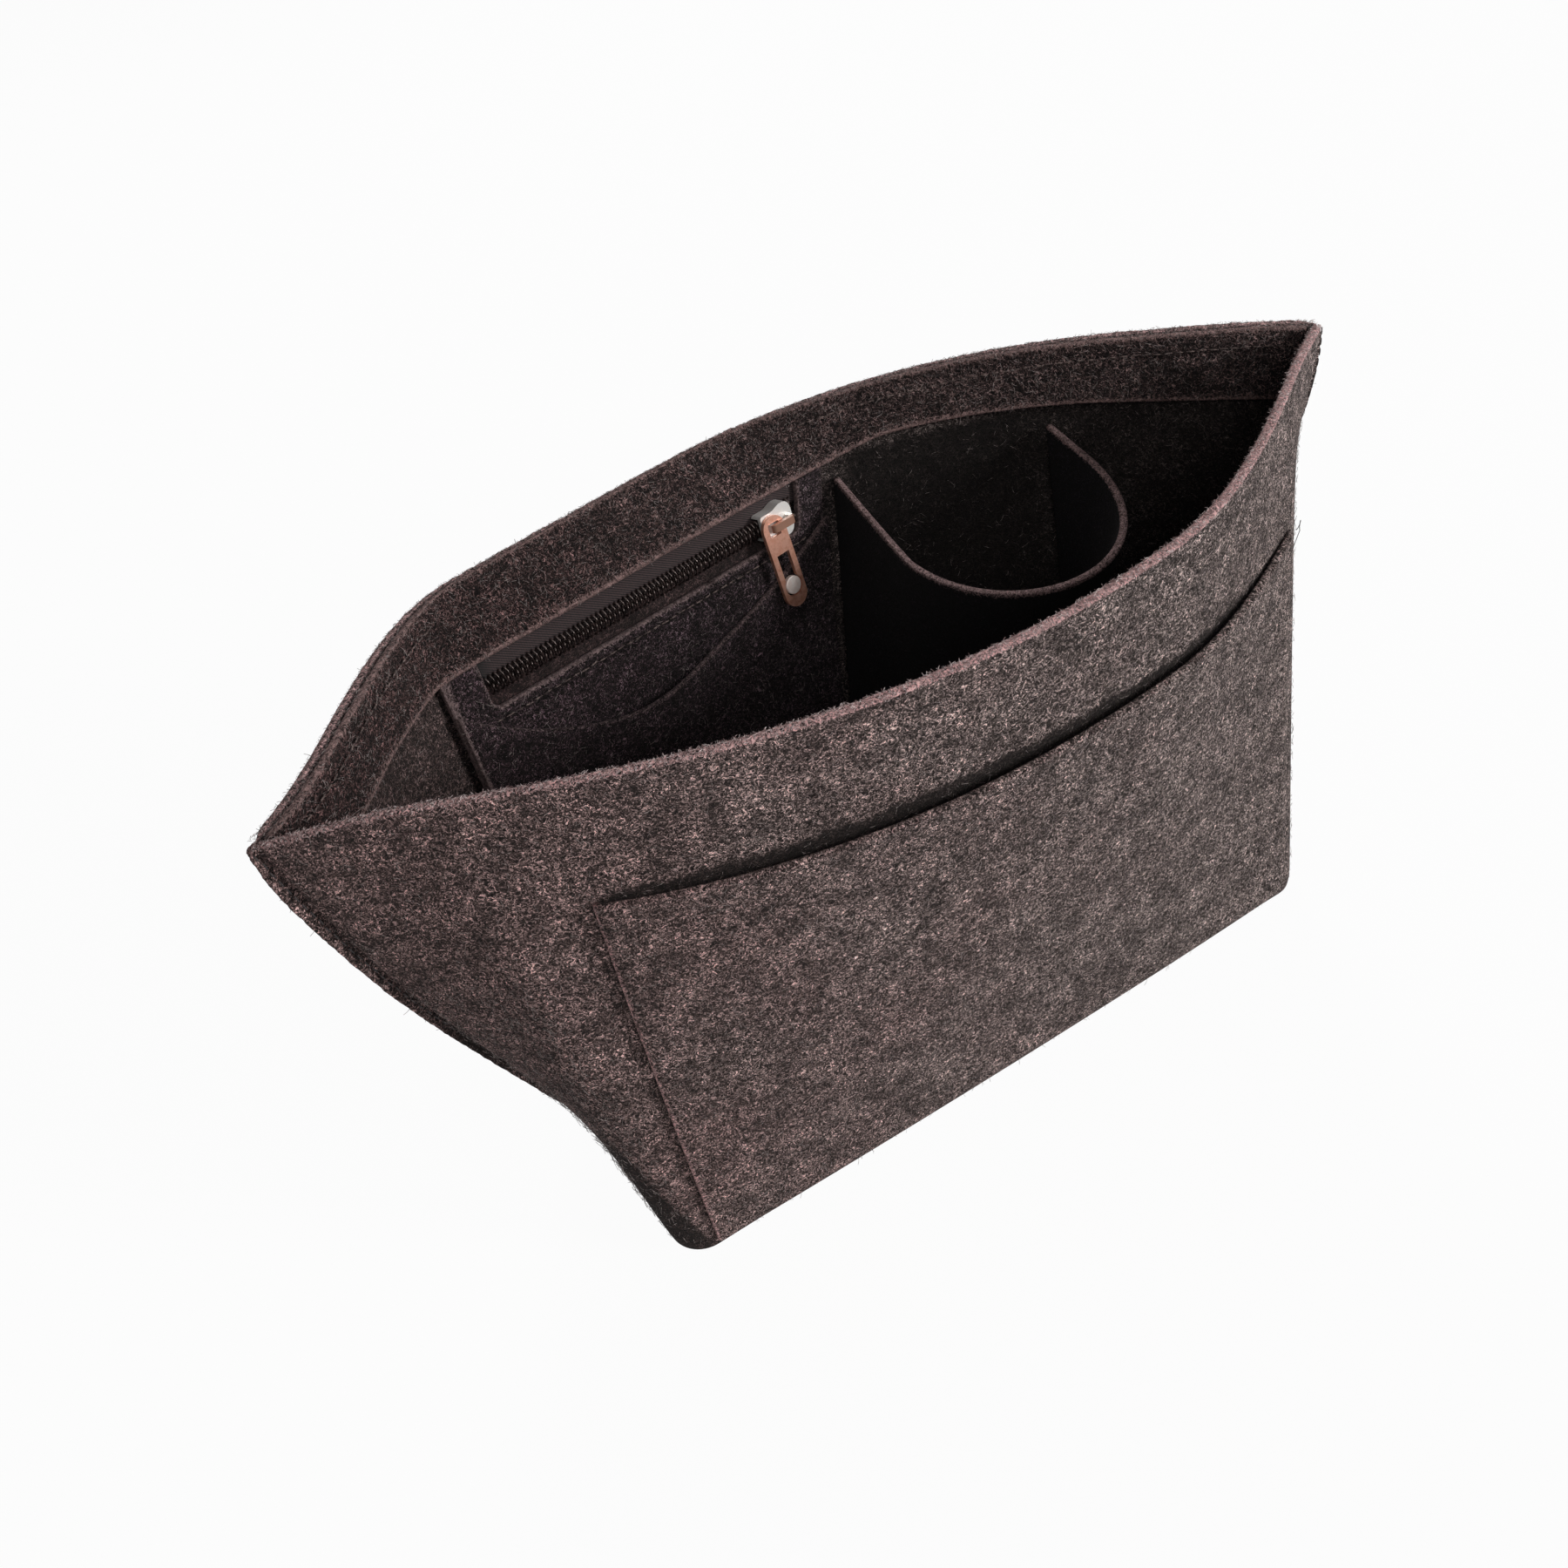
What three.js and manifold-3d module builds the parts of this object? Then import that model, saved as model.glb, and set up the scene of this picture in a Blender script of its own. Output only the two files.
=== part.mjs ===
// Felt cosmetic bag: a flat base, two wall panels that meet in side seams round a lens-shaped mouth,
// a facing, an outer pocket, and inside a coil zip pocket, a slip pocket and a bottle pocket.
// Millimetres, +Z up, +X to the right and +Y to the back. The origin is the middle of the underside.
import * as THREE from "three";
import { mergeVertices } from "three/addons/utils/BufferGeometryUtils.js";
import Module from "manifold-3d";

const wasm = await Module();
wasm.setup();

// Felt and fits
const FELT = 2.2;
const POCKET_FELT = 1.8;
const SLIP_FELT = 1.5;
const SEAT = 0.3;
const SEAM_GAP = 0.3;

// Base and walls
const BASE_HALF_LENGTH = 97.7;
const BASE_HALF_DEPTH = 31.4;
const BASE_CORNER = 8;
const WALL_HEIGHT = 146;
const CREASE_HEIGHT = 18;
const CREASE_FLARE = 4;

// Mouth: how far the tips reach past the base ends, how far the walls bow, and how steeply
// each wall leaves its tip
const LEFT_FLARE = 44.5;
const RIGHT_FLARE = 26.1;
const TIP_SLEW = 1.5;
const FRONT_BOW = 50.3;
const FRONT_CREST = 0.338;
const FRONT_CREST_SLOPE = 0.154;
const FRONT_TIP_SLOPES = { left: -0.79, right: 0.67 };
const BACK_BOW = 68.7;
const BACK_CREST = 0;
const BACK_SHOULDER_BOW = 52.6;
const BACK_SHOULDER = -0.518;
const BACK_TIP_SLOPES = { left: 0.168, right: -0.705 };
const COLUMN_CROWDING = 0.03;

// Sway of each side seam outwards from its straight line: height up the felt, offset and slope
const SEAM_SWAY = {
  left: [[0, 0, -0.08], [27, -2.1, 0], [55, 0.8, 0.11], [100, 3.3, 0], [WALL_HEIGHT, 0.3, -0.12]],
  right: [[0, 0, -0.08], [70, -2.8, 0], [113, -1.7, 0.08], [131, 1.6, 0.12], [WALL_HEIGHT, 0.9, -0.1]],
};
const SWAY_FROM = 0.8;
const WALL_ROWS = [0.36, 0.52, 0.68, 0.78, 0.85, 0.91, 1];

// Side seams: a fin of two raw edges, narrow at the base and full width near the mouth
const FIN_WIDTH = 3.2;
const FIN_START = 14;
const FIN_FULL = 44;
const FIN_STUB = 0.4;

// Facing inside the back of the mouth
const FACING_HEIGHT = 15.8;
const FACING_SEAT = 0.5;
const FACING_OFF_TAPE = 0.2;
const FACING_END = 0.955;

// Outer pocket on the front
const OUTER_POCKET = { leftHeight: 115.3, rightHeight: 112, foot: 2, bow: 2.2, seat: 0.5 };
const OUTER_POCKET_EDGES = { left: [-0.73, -0.622], right: [0.74, 0.737] };

// Zip pocket on the back wall: side edges as shares of the wall, foot and chain height
const BLOCK_LEFT = [-0.715, -0.605];
const BLOCK_RIGHT = [-0.05, 0.235];
const BLOCK_FOOT = 10;
const BLOCK_SEAT = 0.95;
const CHAIN_DROP = { left: 21.8, right: 22.3 };
const SLOT_HALF_WIDTH = 5.8;
const SLOT_LEFT_MARGIN = 11.5;
const SLOT_RIGHT_MARGIN = 8.2;
const SLOT_CORNER = 2.5;

// Slip pocket in front of the zip pocket, with a scooped top edge
const SLIP = {
  drop: 45.4, middle: 0.42, leftRise: 21.2, rightRise: 17.5, bow: 4.6, bowFrom: 0.2, bowTo: 0.68,
};

// Bottle pocket: a deep loop of felt right of the zip pocket
const BOTTLE = {
  topLeft: 0.228, topRight: 0.602, footLeft: -0.028, footRight: 0.6, drop: 20.5, foot: 10, seat: 1,
};
const BOTTLE_LOOP = { reach: 60.83, halfWidth: 27.5, nose: 35, sag: 9, lean: 3 };

// Coil zip
const TAPE_THICKNESS = 0.5;
const TAPE_HIDDEN = 3.2;
const TAPE_UNDER_FACING = 0.5;
const TAPE_PAST_SLOT = 2.5;
const TAPE_EDGE_GAP = 0.2;
const COIL_PITCH = 1.34;
const COIL_WIRE = 0.5;
const COIL_OUTER = 2.45;
const COIL_OVERLAP = 0.5;
const COIL_THICKNESS = 2.3;
const COIL_STEPS = 6;
const PARTING = 1.22;
const PARTING_LENGTH = 5;

// Slider and pull
const SLIDER = {
  length: 9.8, frontHalf: 4.4, rearHalf: 3.4, plate: 1.1, backPlate: 0.8, flange: 0.6,
  tailRound: 0.8,
};
const SLIDER_FROM_SLOT_END = 8.8;
const SLIDER_CLEARANCE = 0.25;
const SLIDER_PLAY = 0.1;
const FUSED = 0.2;
const DIVIDER = { halfWidth: 0.6, length: 3, fromNose: 0.9 };
const BRIDGE = {
  leftFoot: -2.9, rightFoot: 3.3, foot: 1.2, width: 2, gap: 1.8, strap: 1.1, bend: 1.4, nose: 1.8,
  noseDrop: 0.5,
};
const PULL = {
  length: 24.6, width: 7, thickness: 1.1, eye: 3.6, eyeCorner: 0.6, slotTop: 6.6, slotWidth: 3.9,
  bowl: 5.5,
};
const PULL_SLACK = { along: 0.5, down: 0.5, tilt: 3.5 };
const PULL_DISC = { diameter: 4.7, thickness: 1.5, fromTip: 5.7 };

// Sizes worked out from the ones above
const INNER_LENGTH = BASE_HALF_LENGTH - FELT;
const INNER_DEPTH = BASE_HALF_DEPTH - FELT;
const INNER_CORNER = BASE_CORNER - FELT;
const MOUTH_MIDDLE = (RIGHT_FLARE - LEFT_FLARE) / 2;
const MOUTH_HALF = BASE_HALF_LENGTH + (RIGHT_FLARE + LEFT_FLARE) / 2;
const FACING_FOOT = WALL_HEIGHT - FACING_HEIGHT;
const PANEL_TOP = FACING_FOOT - SEAT;
const PANEL_STANDOFF = TAPE_THICKNESS + SEAT;
const COIL_BACK = TAPE_THICKNESS + SEAT;
const COIL_MIDDLE = COIL_BACK + COIL_THICKNESS / 2;
const COIL_FRONT = COIL_BACK + COIL_THICKNESS;
const PLATE_BACK = COIL_FRONT + SLIDER_CLEARANCE;
const PLATE_FRONT = PLATE_BACK + SLIDER.plate;
const LEFT = -1;
const RIGHT = 1;
const FRONT = -1;
const BACK = 1;

const FELT_COLOUR = 0x3b3534;
const COIL_COLOUR = 0x131112;
const feltMaterial = () => new THREE.MeshStandardMaterial({ color: FELT_COLOUR, roughness: 0.95 });
const tapeMaterial = () => new THREE.MeshStandardMaterial({ color: 0x1c1819, roughness: 0.9 });
const coilMaterial = () => new THREE.MeshStandardMaterial({ color: COIL_COLOUR, roughness: 0.35 });
const zincMaterial = () => new THREE.MeshStandardMaterial({
  color: 0xe8e6df, metalness: 0.7, roughness: 0.3,
});
const copperMaterial = () => new THREE.MeshStandardMaterial({
  color: 0xb98570, metalness: 0.9, roughness: 0.35,
});

const clamp = THREE.MathUtils.clamp;
const lerp = THREE.MathUtils.lerp;
const vector = (x, y, z) => new THREE.Vector3(x, y, z);

function ease(value, from, to) {
  const t = clamp((value - from) / (to - from), 0, 1);
  return t * t * (3 - 2 * t);
}

// A smooth line through knots [x, y, slope]
function throughKnots(x, knots) {
  let i = 0;
  while (i < knots.length - 2 && x > knots[i + 1][0]) {
    i += 1;
  }
  const [x0, y0, m0] = knots[i];
  const [x1, y1, m1] = knots[i + 1];
  const span = x1 - x0;
  const t = clamp((x - x0) / span, 0, 1);
  const t2 = t * t;
  const t3 = t2 * t;
  const start = (2 * t3 - 3 * t2 + 1) * y0 + (t3 - 2 * t2 + t) * span * m0;
  return start + (3 * t2 - 2 * t3) * y1 + (t3 - t2) * span * m1;
}

// Foot of a wall on the base outline, inner face; share runs from -1 at the left seam to 1 at the right
function footOf(share, side) {
  const straight = INNER_LENGTH - INNER_CORNER;
  const arc = (Math.PI / 2) * INNER_CORNER;
  const end = INNER_DEPTH - INNER_CORNER - SEAM_GAP / 2;
  const along = Math.abs(share) * (straight + arc + end);
  const turn = clamp((along - straight) / INNER_CORNER, 0, Math.PI / 2);
  const x = Math.min(along, straight) + INNER_CORNER * Math.sin(turn);
  const past = Math.max(along - straight - arc, 0);
  const y = INNER_DEPTH - INNER_CORNER * (1 - Math.cos(turn)) - past;
  const round = clamp((along - straight) / (arc + end), 0, 1);
  return { x: Math.sign(share) * x, y: side * y, round };
}

const mouthX = (share) => MOUTH_MIDDLE + MOUTH_HALF * share;

function mouthKnots(side) {
  const left = [mouthX(LEFT), TIP_SLEW];
  const right = [mouthX(RIGHT), -TIP_SLEW];
  if (side === FRONT) {
    return [
      [...left, FRONT_TIP_SLOPES.left],
      [mouthX(FRONT_CREST), -FRONT_BOW, FRONT_CREST_SLOPE],
      [...right, FRONT_TIP_SLOPES.right],
    ];
  }
  const straight = (BACK_BOW - BACK_SHOULDER_BOW) / (mouthX(BACK_CREST) - mouthX(BACK_SHOULDER));
  return [
    [...left, BACK_TIP_SLOPES.left],
    [mouthX(BACK_SHOULDER), BACK_SHOULDER_BOW, straight],
    [mouthX(BACK_CREST), BACK_BOW, straight],
    [...right, BACK_TIP_SLOPES.right],
  ];
}
const KNOTS = { [FRONT]: mouthKnots(FRONT), [BACK]: mouthKnots(BACK) };

function rimOf(share, side) {
  const x = mouthX(share + COLUMN_CROWDING * Math.sin(Math.PI * share));
  return { x, y: throughKnots(x, KNOTS[side]) + (side * SEAM_GAP) / 2 };
}

// Inner face of a wall at a column (share) and a height measured up the felt. Each column is a
// straight strip of felt WALL_HEIGHT long, with one soft crease above the base end, and the strips
// near a side seam sway with it.
function wall(share, height, side) {
  const knots = share < 0 ? SEAM_SWAY.left : SEAM_SWAY.right;
  const sway = Math.sign(share) * throughKnots(height, knots) * ease(Math.abs(share), SWAY_FROM, 1);
  return strip(share, height, side).add(vector(sway, 0, 0));
}

function strip(share, height, side) {
  const foot = footOf(share, side);
  const rim = rimOf(share, side);
  const crease = vector(foot.x + Math.sign(share) * CREASE_FLARE * foot.round, foot.y, CREASE_HEIGHT * foot.round);
  const start = vector(foot.x, foot.y, 0);
  const below = start.distanceTo(crease);
  const above = WALL_HEIGHT - below;
  const reach = Math.hypot(rim.x - crease.x, rim.y - crease.y);
  const top = vector(rim.x, rim.y, crease.z + Math.sqrt(Math.max(above * above - reach * reach, 0)));
  if (height < below) {
    return start.lerp(crease, height / below);
  }
  return crease.lerp(top, (height - below) / above);
}

// Unit normal of any surface(a, b), turned towards the side of the bag's inside
function normalOf(surface, a, b, stepA, stepB, facing) {
  const across = surface(a + stepA, b).sub(surface(a - stepA, b));
  const up = surface(a, b + stepB).sub(surface(a, b - stepB));
  return across.cross(up).normalize().multiplyScalar(facing);
}

function wallInward(share, height, side) {
  const s = clamp(share, -0.998, 0.998);
  const h = clamp(height, 1, WALL_HEIGHT - 1);
  return normalOf((a, b) => wall(a, b, side), s, h, 0.002, 0.5, side);
}

// A point off the wall's inner face, into the bag
const insideWall = (share, height, side, off) =>
  wall(share, height, side).addScaledVector(wallInward(share, height, side), off);

// Closed body from a grid: near and far give the two faces at (column, row)
function sheet(near, far, columns, rows) {
  const points = [];
  const index = [];
  const across = columns.length;
  const up = rows.length;
  for (const face of [near, far]) {
    for (const c of columns) {
      for (const r of rows) {
        points.push(...face(c, r).toArray());
      }
    }
  }
  const id = (layer, c, r) => layer * across * up + c * up + r;
  const quad = (a, b, c, d) => index.push(a, b, c, a, c, d);
  for (let c = 0; c + 1 < across; c += 1) {
    for (let r = 0; r + 1 < up; r += 1) {
      quad(id(0, c, r), id(0, c + 1, r), id(0, c + 1, r + 1), id(0, c, r + 1));
      quad(id(1, c, r), id(1, c, r + 1), id(1, c + 1, r + 1), id(1, c + 1, r));
    }
    quad(id(1, c, 0), id(1, c + 1, 0), id(0, c + 1, 0), id(0, c, 0));
    quad(id(0, c, up - 1), id(0, c + 1, up - 1), id(1, c + 1, up - 1), id(1, c, up - 1));
  }
  for (let r = 0; r + 1 < up; r += 1) {
    quad(id(0, 0, r), id(0, 0, r + 1), id(1, 0, r + 1), id(1, 0, r));
    quad(id(1, across - 1, r), id(1, across - 1, r + 1), id(0, across - 1, r + 1), id(0, across - 1, r));
  }
  return facingOut(bodyOf(points, index));
}

function bodyOf(points, index) {
  const geometry = new THREE.BufferGeometry();
  geometry.setAttribute("position", new THREE.Float32BufferAttribute(points, 3));
  geometry.setIndex(index);
  return geometry;
}

// Turns every face over if the body came out inside out
function facingOut(geometry) {
  const at = (i) => new THREE.Vector3().fromBufferAttribute(geometry.attributes.position, i);
  const index = geometry.index.array;
  let volume = 0;
  for (let i = 0; i < index.length; i += 3) {
    volume += at(index[i]).dot(at(index[i + 1]).cross(at(index[i + 2])));
  }
  if (volume < 0) {
    for (let i = 0; i < index.length; i += 3) {
      [index[i + 1], index[i + 2]] = [index[i + 2], index[i + 1]];
    }
  }
  return geometry;
}

const stations = (from, to, count) =>
  Array.from({ length: count + 1 }, (_, i) => lerp(from, to, i / count));

function solid(geometry) {
  const bare = geometry.clone();
  bare.deleteAttribute("normal");
  bare.deleteAttribute("uv");
  const merged = mergeVertices(bare, 1e-4);
  const vertProperties = new Float32Array(merged.attributes.position.array);
  const triVerts = new Uint32Array(merged.index.array);
  return new wasm.Manifold(new wasm.Mesh({ numProp: 3, vertProperties, triVerts }));
}

function geometryOf(manifold) {
  const mesh = manifold.getMesh();
  return bodyOf(Array.from(mesh.vertProperties), Array.from(mesh.triVerts));
}

function extruded(shape, from, to, curveSegments = 8) {
  const geometry = new THREE.ExtrudeGeometry(shape, { depth: to - from, bevelEnabled: false, curveSegments });
  return geometry.translate(0, 0, from);
}

function roundedRectangle(left, right, low, high, radius) {
  const shape = new THREE.Shape();
  shape.moveTo(left + radius, low);
  shape.lineTo(right - radius, low);
  shape.absarc(right - radius, low + radius, radius, -Math.PI / 2, 0, false);
  shape.lineTo(right, high - radius);
  shape.absarc(right - radius, high - radius, radius, 0, Math.PI / 2, false);
  shape.lineTo(left + radius, high);
  shape.absarc(left + radius, high - radius, radius, Math.PI / 2, Math.PI, false);
  shape.lineTo(left, low + radius);
  shape.absarc(left + radius, low + radius, radius, Math.PI, Math.PI * 1.5, false);
  return shape;
}

// Columns of a wall: even along the face, close round the corner, then the wing
function wallColumns() {
  const corner = (INNER_LENGTH - INNER_CORNER) / (INNER_LENGTH - INNER_CORNER + (Math.PI / 2) * INNER_CORNER
    + INNER_DEPTH - INNER_CORNER);
  const round = corner + 0.085;
  const half = [...stations(0, corner - 0.01, 13), ...stations(corner, round, 4), ...stations(round + 0.03, 1, 5)];
  return [...half.slice(1).reverse().map((s) => -s), ...half];
}

const finWidth = (height) => lerp(FELT + FIN_STUB, FIN_WIDTH, ease(height, FIN_START, FIN_FULL));

// Wall panel: the wall itself with a fin past each seam
function wallPanel(side) {
  const columns = wallColumns().map((share) => ({ share, fin: 0 }));
  columns.unshift({ share: LEFT, fin: 1 });
  columns.push({ share: RIGHT, fin: 1 });
  const rows = [0, CREASE_HEIGHT / 2, CREASE_HEIGHT, CREASE_HEIGHT * 1.5, ...WALL_ROWS.map((r) => r * WALL_HEIGHT)];
  const inner = (column, height) =>
    wall(column.share, height, side).add(vector(Math.sign(column.share) * column.fin * finWidth(height), 0, 0));
  const outer = (column, height) => {
    const outward = wallInward(column.share, height, side).negate();
    const finNormal = vector(0, side, 0);
    if (column.fin > 0) {
      return inner(column, height).addScaledVector(finNormal, FELT);
    }
    if (Math.abs(column.share) === 1) {
      outward.add(finNormal).normalize();
    }
    return inner(column, height).addScaledVector(flatAtFoot(outward, height), FELT);
  };
  return sheet(inner, outer, columns, rows);
}

// Keeps the cut edges of a wall level at the base
function flatAtFoot(normal, height) {
  return height > 0 ? normal : normal.setZ(0).normalize();
}

function basePanel() {
  const halfLength = INNER_LENGTH - SEAT;
  const halfDepth = INNER_DEPTH - SEAT;
  return extruded(roundedRectangle(-halfLength, halfLength, -halfDepth, halfDepth, INNER_CORNER - SEAT), 0, FELT, 5);
}

function outerPocket() {
  const edge = (pair, rise) => lerp(pair[0], pair[1], rise);
  const place = (across, rise) => {
    const share = lerp(edge(OUTER_POCKET_EDGES.left, rise), edge(OUTER_POCKET_EDGES.right, rise), across);
    const top = lerp(OUTER_POCKET.leftHeight, OUTER_POCKET.rightHeight, ease(across, 0.45, 1));
    const bow = OUTER_POCKET.bow * Math.sin(Math.PI * across) * rise * rise;
    return { share, height: lerp(OUTER_POCKET.foot, top, rise), off: -(FELT + OUTER_POCKET.seat + bow) };
  };
  const at = (across, rise, extra) => {
    const p = place(across, rise);
    return insideWall(p.share, p.height, FRONT, p.off - extra);
  };
  return sheet((c, r) => at(c, r, 0), (c, r) => at(c, r, POCKET_FELT), stations(0, 1, 26), stations(0, 1, 5));
}

// The flat block of the zip pocket spans the bowed back wall as a chord at every height
const blockShare = (pair, height) => lerp(pair[0], pair[1], height / WALL_HEIGHT);
function blockPoint(across, height) {
  const left = insideWall(blockShare(BLOCK_LEFT, height), height, BACK, BLOCK_SEAT - PANEL_STANDOFF);
  const right = insideWall(blockShare(BLOCK_RIGHT, height), height, BACK, BLOCK_SEAT - PANEL_STANDOFF);
  return left.lerp(right, across);
}
const blockInward = (across, height) => normalOf(blockPoint, across, height, 0.01, 1, 1);
const onBlock = (across, height, off) =>
  blockPoint(across, height).addScaledVector(blockInward(across, height), off);

// Chain line: straight, from the block's left edge to its right edge
const chainHeight = (across) => WALL_HEIGHT - lerp(CHAIN_DROP.left, CHAIN_DROP.right, across);
const chainLeft = blockPoint(0, chainHeight(0));
const chainRight = blockPoint(1, chainHeight(1));
const CHAIN_SPAN = chainLeft.distanceTo(chainRight);
const chainAxis = chainRight.clone().sub(chainLeft).normalize();
const SLOT_START = SLOT_LEFT_MARGIN;
const SLOT_END = CHAIN_SPAN - SLOT_RIGHT_MARGIN;
const SLIDER_REST = SLOT_END - SLIDER_FROM_SLOT_END;

// A frame with x along the chain, y up the block and z into the bag, at a distance along the chain
function chainFrame(along) {
  const across = along / CHAIN_SPAN;
  const inward = blockInward(across, chainHeight(across));
  const up = inward.clone().cross(chainAxis).normalize();
  const normal = chainAxis.clone().cross(up).normalize();
  const group = new THREE.Group();
  group.position.copy(chainLeft).addScaledVector(chainAxis, along);
  group.quaternion.setFromRotationMatrix(new THREE.Matrix4().makeBasis(chainAxis, up, normal));
  return group;
}

function zipPanel() {
  const rows = [BLOCK_FOOT, ...stations(WALL_HEIGHT * 0.36, PANEL_TOP, 5)];
  const at = (off) => (c, r) => onBlock(c, r, off);
  const body = solid(sheet(at(PANEL_STANDOFF), at(PANEL_STANDOFF + POCKET_FELT), stations(0, 1, 12), rows));
  const window = roundedRectangle(SLOT_START, SLOT_END, -SLOT_HALF_WIDTH, WALL_HEIGHT, SLOT_CORNER);
  const cutter = extruded(window, -FELT, FELT * 3);
  const frame = chainFrame(CHAIN_SPAN / 2);
  frame.position.copy(chainLeft);
  frame.updateMatrix();
  return geometryOf(body.subtract(solid(cutter.applyMatrix4(frame.matrix))));
}

// Facing: follows the rim, and stands clear of the tape along the zip pocket's chord
function facing() {
  const chord = (share) => {
    const from = blockShare(BLOCK_LEFT, FACING_FOOT);
    const to = blockShare(BLOCK_RIGHT, FACING_FOOT);
    return (share - from) / (to - from);
  };
  const at = (share, rise, extra) => {
    const across = chord(share);
    if (across > 0 && across < 1) {
      const foot = onBlock(across, FACING_FOOT, PANEL_STANDOFF + FACING_OFF_TAPE + extra);
      return foot.lerp(insideWall(share, WALL_HEIGHT, BACK, FACING_SEAT + extra), rise);
    }
    return insideWall(share, lerp(FACING_FOOT, WALL_HEIGHT, rise), BACK, FACING_SEAT + extra);
  };
  const inBlock = stations(blockShare(BLOCK_LEFT, FACING_FOOT), blockShare(BLOCK_RIGHT, FACING_FOOT), 12);
  const columns = [...stations(-FACING_END, inBlock[0], 8).slice(0, -1), ...inBlock,
    ...stations(inBlock[12], FACING_END, 14).slice(1)];
  return sheet((c, r) => at(c, r, 0), (c, r) => at(c, r, POCKET_FELT), columns, [0, 0.4, 1]);
}

function slipPocket() {
  const place = (across, rise) => {
    const left = across < SLIP.middle;
    const reach = left ? across / SLIP.middle - 1 : (across - SLIP.middle) / (1 - SLIP.middle);
    const top = WALL_HEIGHT - SLIP.drop + (left ? SLIP.leftRise : SLIP.rightRise) * reach * reach;
    const height = lerp(BLOCK_FOOT, top, rise);
    const swell = Math.sin(Math.PI * clamp((across - SLIP.bowFrom) / (SLIP.bowTo - SLIP.bowFrom), 0, 1)) ** 2;
    return { height, off: PANEL_STANDOFF + POCKET_FELT + SEAT + SLIP.bow * swell * rise * rise };
  };
  const at = (across, rise, extra) => {
    const p = place(across, rise);
    return onBlock(across, p.height, p.off + extra);
  };
  return sheet((c, r) => at(c, r, 0), (c, r) => at(c, r, SLIP_FELT), stations(0, 1, 24), stations(0, 1, 5));
}

// Plan of the bottle pocket's mouth: two sides and a half ellipse, as a fraction of its length
function bottleLoop() {
  const height = WALL_HEIGHT - BOTTLE.drop;
  const left = insideWall(BOTTLE.topLeft, height, BACK, BOTTLE.seat);
  const right = insideWall(BOTTLE.topRight, height, BACK, BOTTLE.seat);
  const middle = (left.x + right.x) / 2 - BOTTLE_LOOP.lean;
  const noseY = (left.y + right.y) / 2 - BOTTLE_LOOP.reach + BOTTLE_LOOP.nose;
  const curve = new THREE.CurvePath();
  const flat = (x, y) => new THREE.Vector2(x, y);
  const noseLeft = flat(middle - BOTTLE_LOOP.halfWidth, noseY);
  const noseRight = flat(middle + BOTTLE_LOOP.halfWidth, noseY);
  curve.add(new THREE.LineCurve(flat(left.x, left.y), noseLeft));
  curve.add(new THREE.EllipseCurve(middle, noseY, BOTTLE_LOOP.halfWidth, BOTTLE_LOOP.nose, Math.PI, 2 * Math.PI));
  curve.add(new THREE.LineCurve(noseRight, flat(right.x, right.y)));
  return { curve, left, right };
}

function bottlePocket() {
  const loop = bottleLoop();
  const top = (across) => {
    const p = loop.curve.getPointAt(across);
    const level = lerp(loop.left.z, loop.right.z, across);
    return vector(p.x, p.y, level - BOTTLE_LOOP.sag * Math.sin(Math.PI * across));
  };
  const foot = (across) =>
    insideWall(lerp(BOTTLE.footLeft, BOTTLE.footRight, across), BOTTLE.foot, BACK, SEAT + POCKET_FELT);
  const face = (across, rise) => foot(across).lerp(top(across), rise);
  const outward = (across, rise) =>
    normalOf(face, clamp(across, 0.004, 0.996), clamp(rise, 0.02, 0.98), 0.003, 0.01, 1);
  const inner = (across, rise) => face(across, rise).addScaledVector(outward(across, rise), -POCKET_FELT);
  return sheet(face, inner, stations(0, 1, 34), stations(0, 1, 4));
}

// How far each half of the chain is parted at a distance along the chain
const PARTED = SLIDER_REST + SLIDER.length / 2 - DIVIDER.fromNose - DIVIDER.length / 2;
const partingAt = (along) => PARTING * ease(along, PARTED - PARTING_LENGTH, PARTED);

function tape(side) {
  const at = (along, share, off) => {
    const middle = chainHeight(along / CHAIN_SPAN);
    const inner = TAPE_EDGE_GAP / 2 + partingAt(along);
    const reach = side > 0 ? FACING_FOOT - middle + TAPE_UNDER_FACING : SLOT_HALF_WIDTH + TAPE_HIDDEN;
    return onBlock(along / CHAIN_SPAN, middle + side * lerp(inner, reach, share), off);
  };
  const parted = stations(SLIDER_REST - SLIDER.length / 2, SLIDER_REST + SLIDER.length / 2, 6);
  const columns = [...stations(SLOT_START - TAPE_PAST_SLOT, parted[0], 5).slice(0, -1), ...parted,
    SLOT_END + TAPE_PAST_SLOT];
  return sheet((c, r) => at(c, r, 0), (c, r) => at(c, r, TAPE_THICKNESS), columns, [0, 1]);
}

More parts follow.
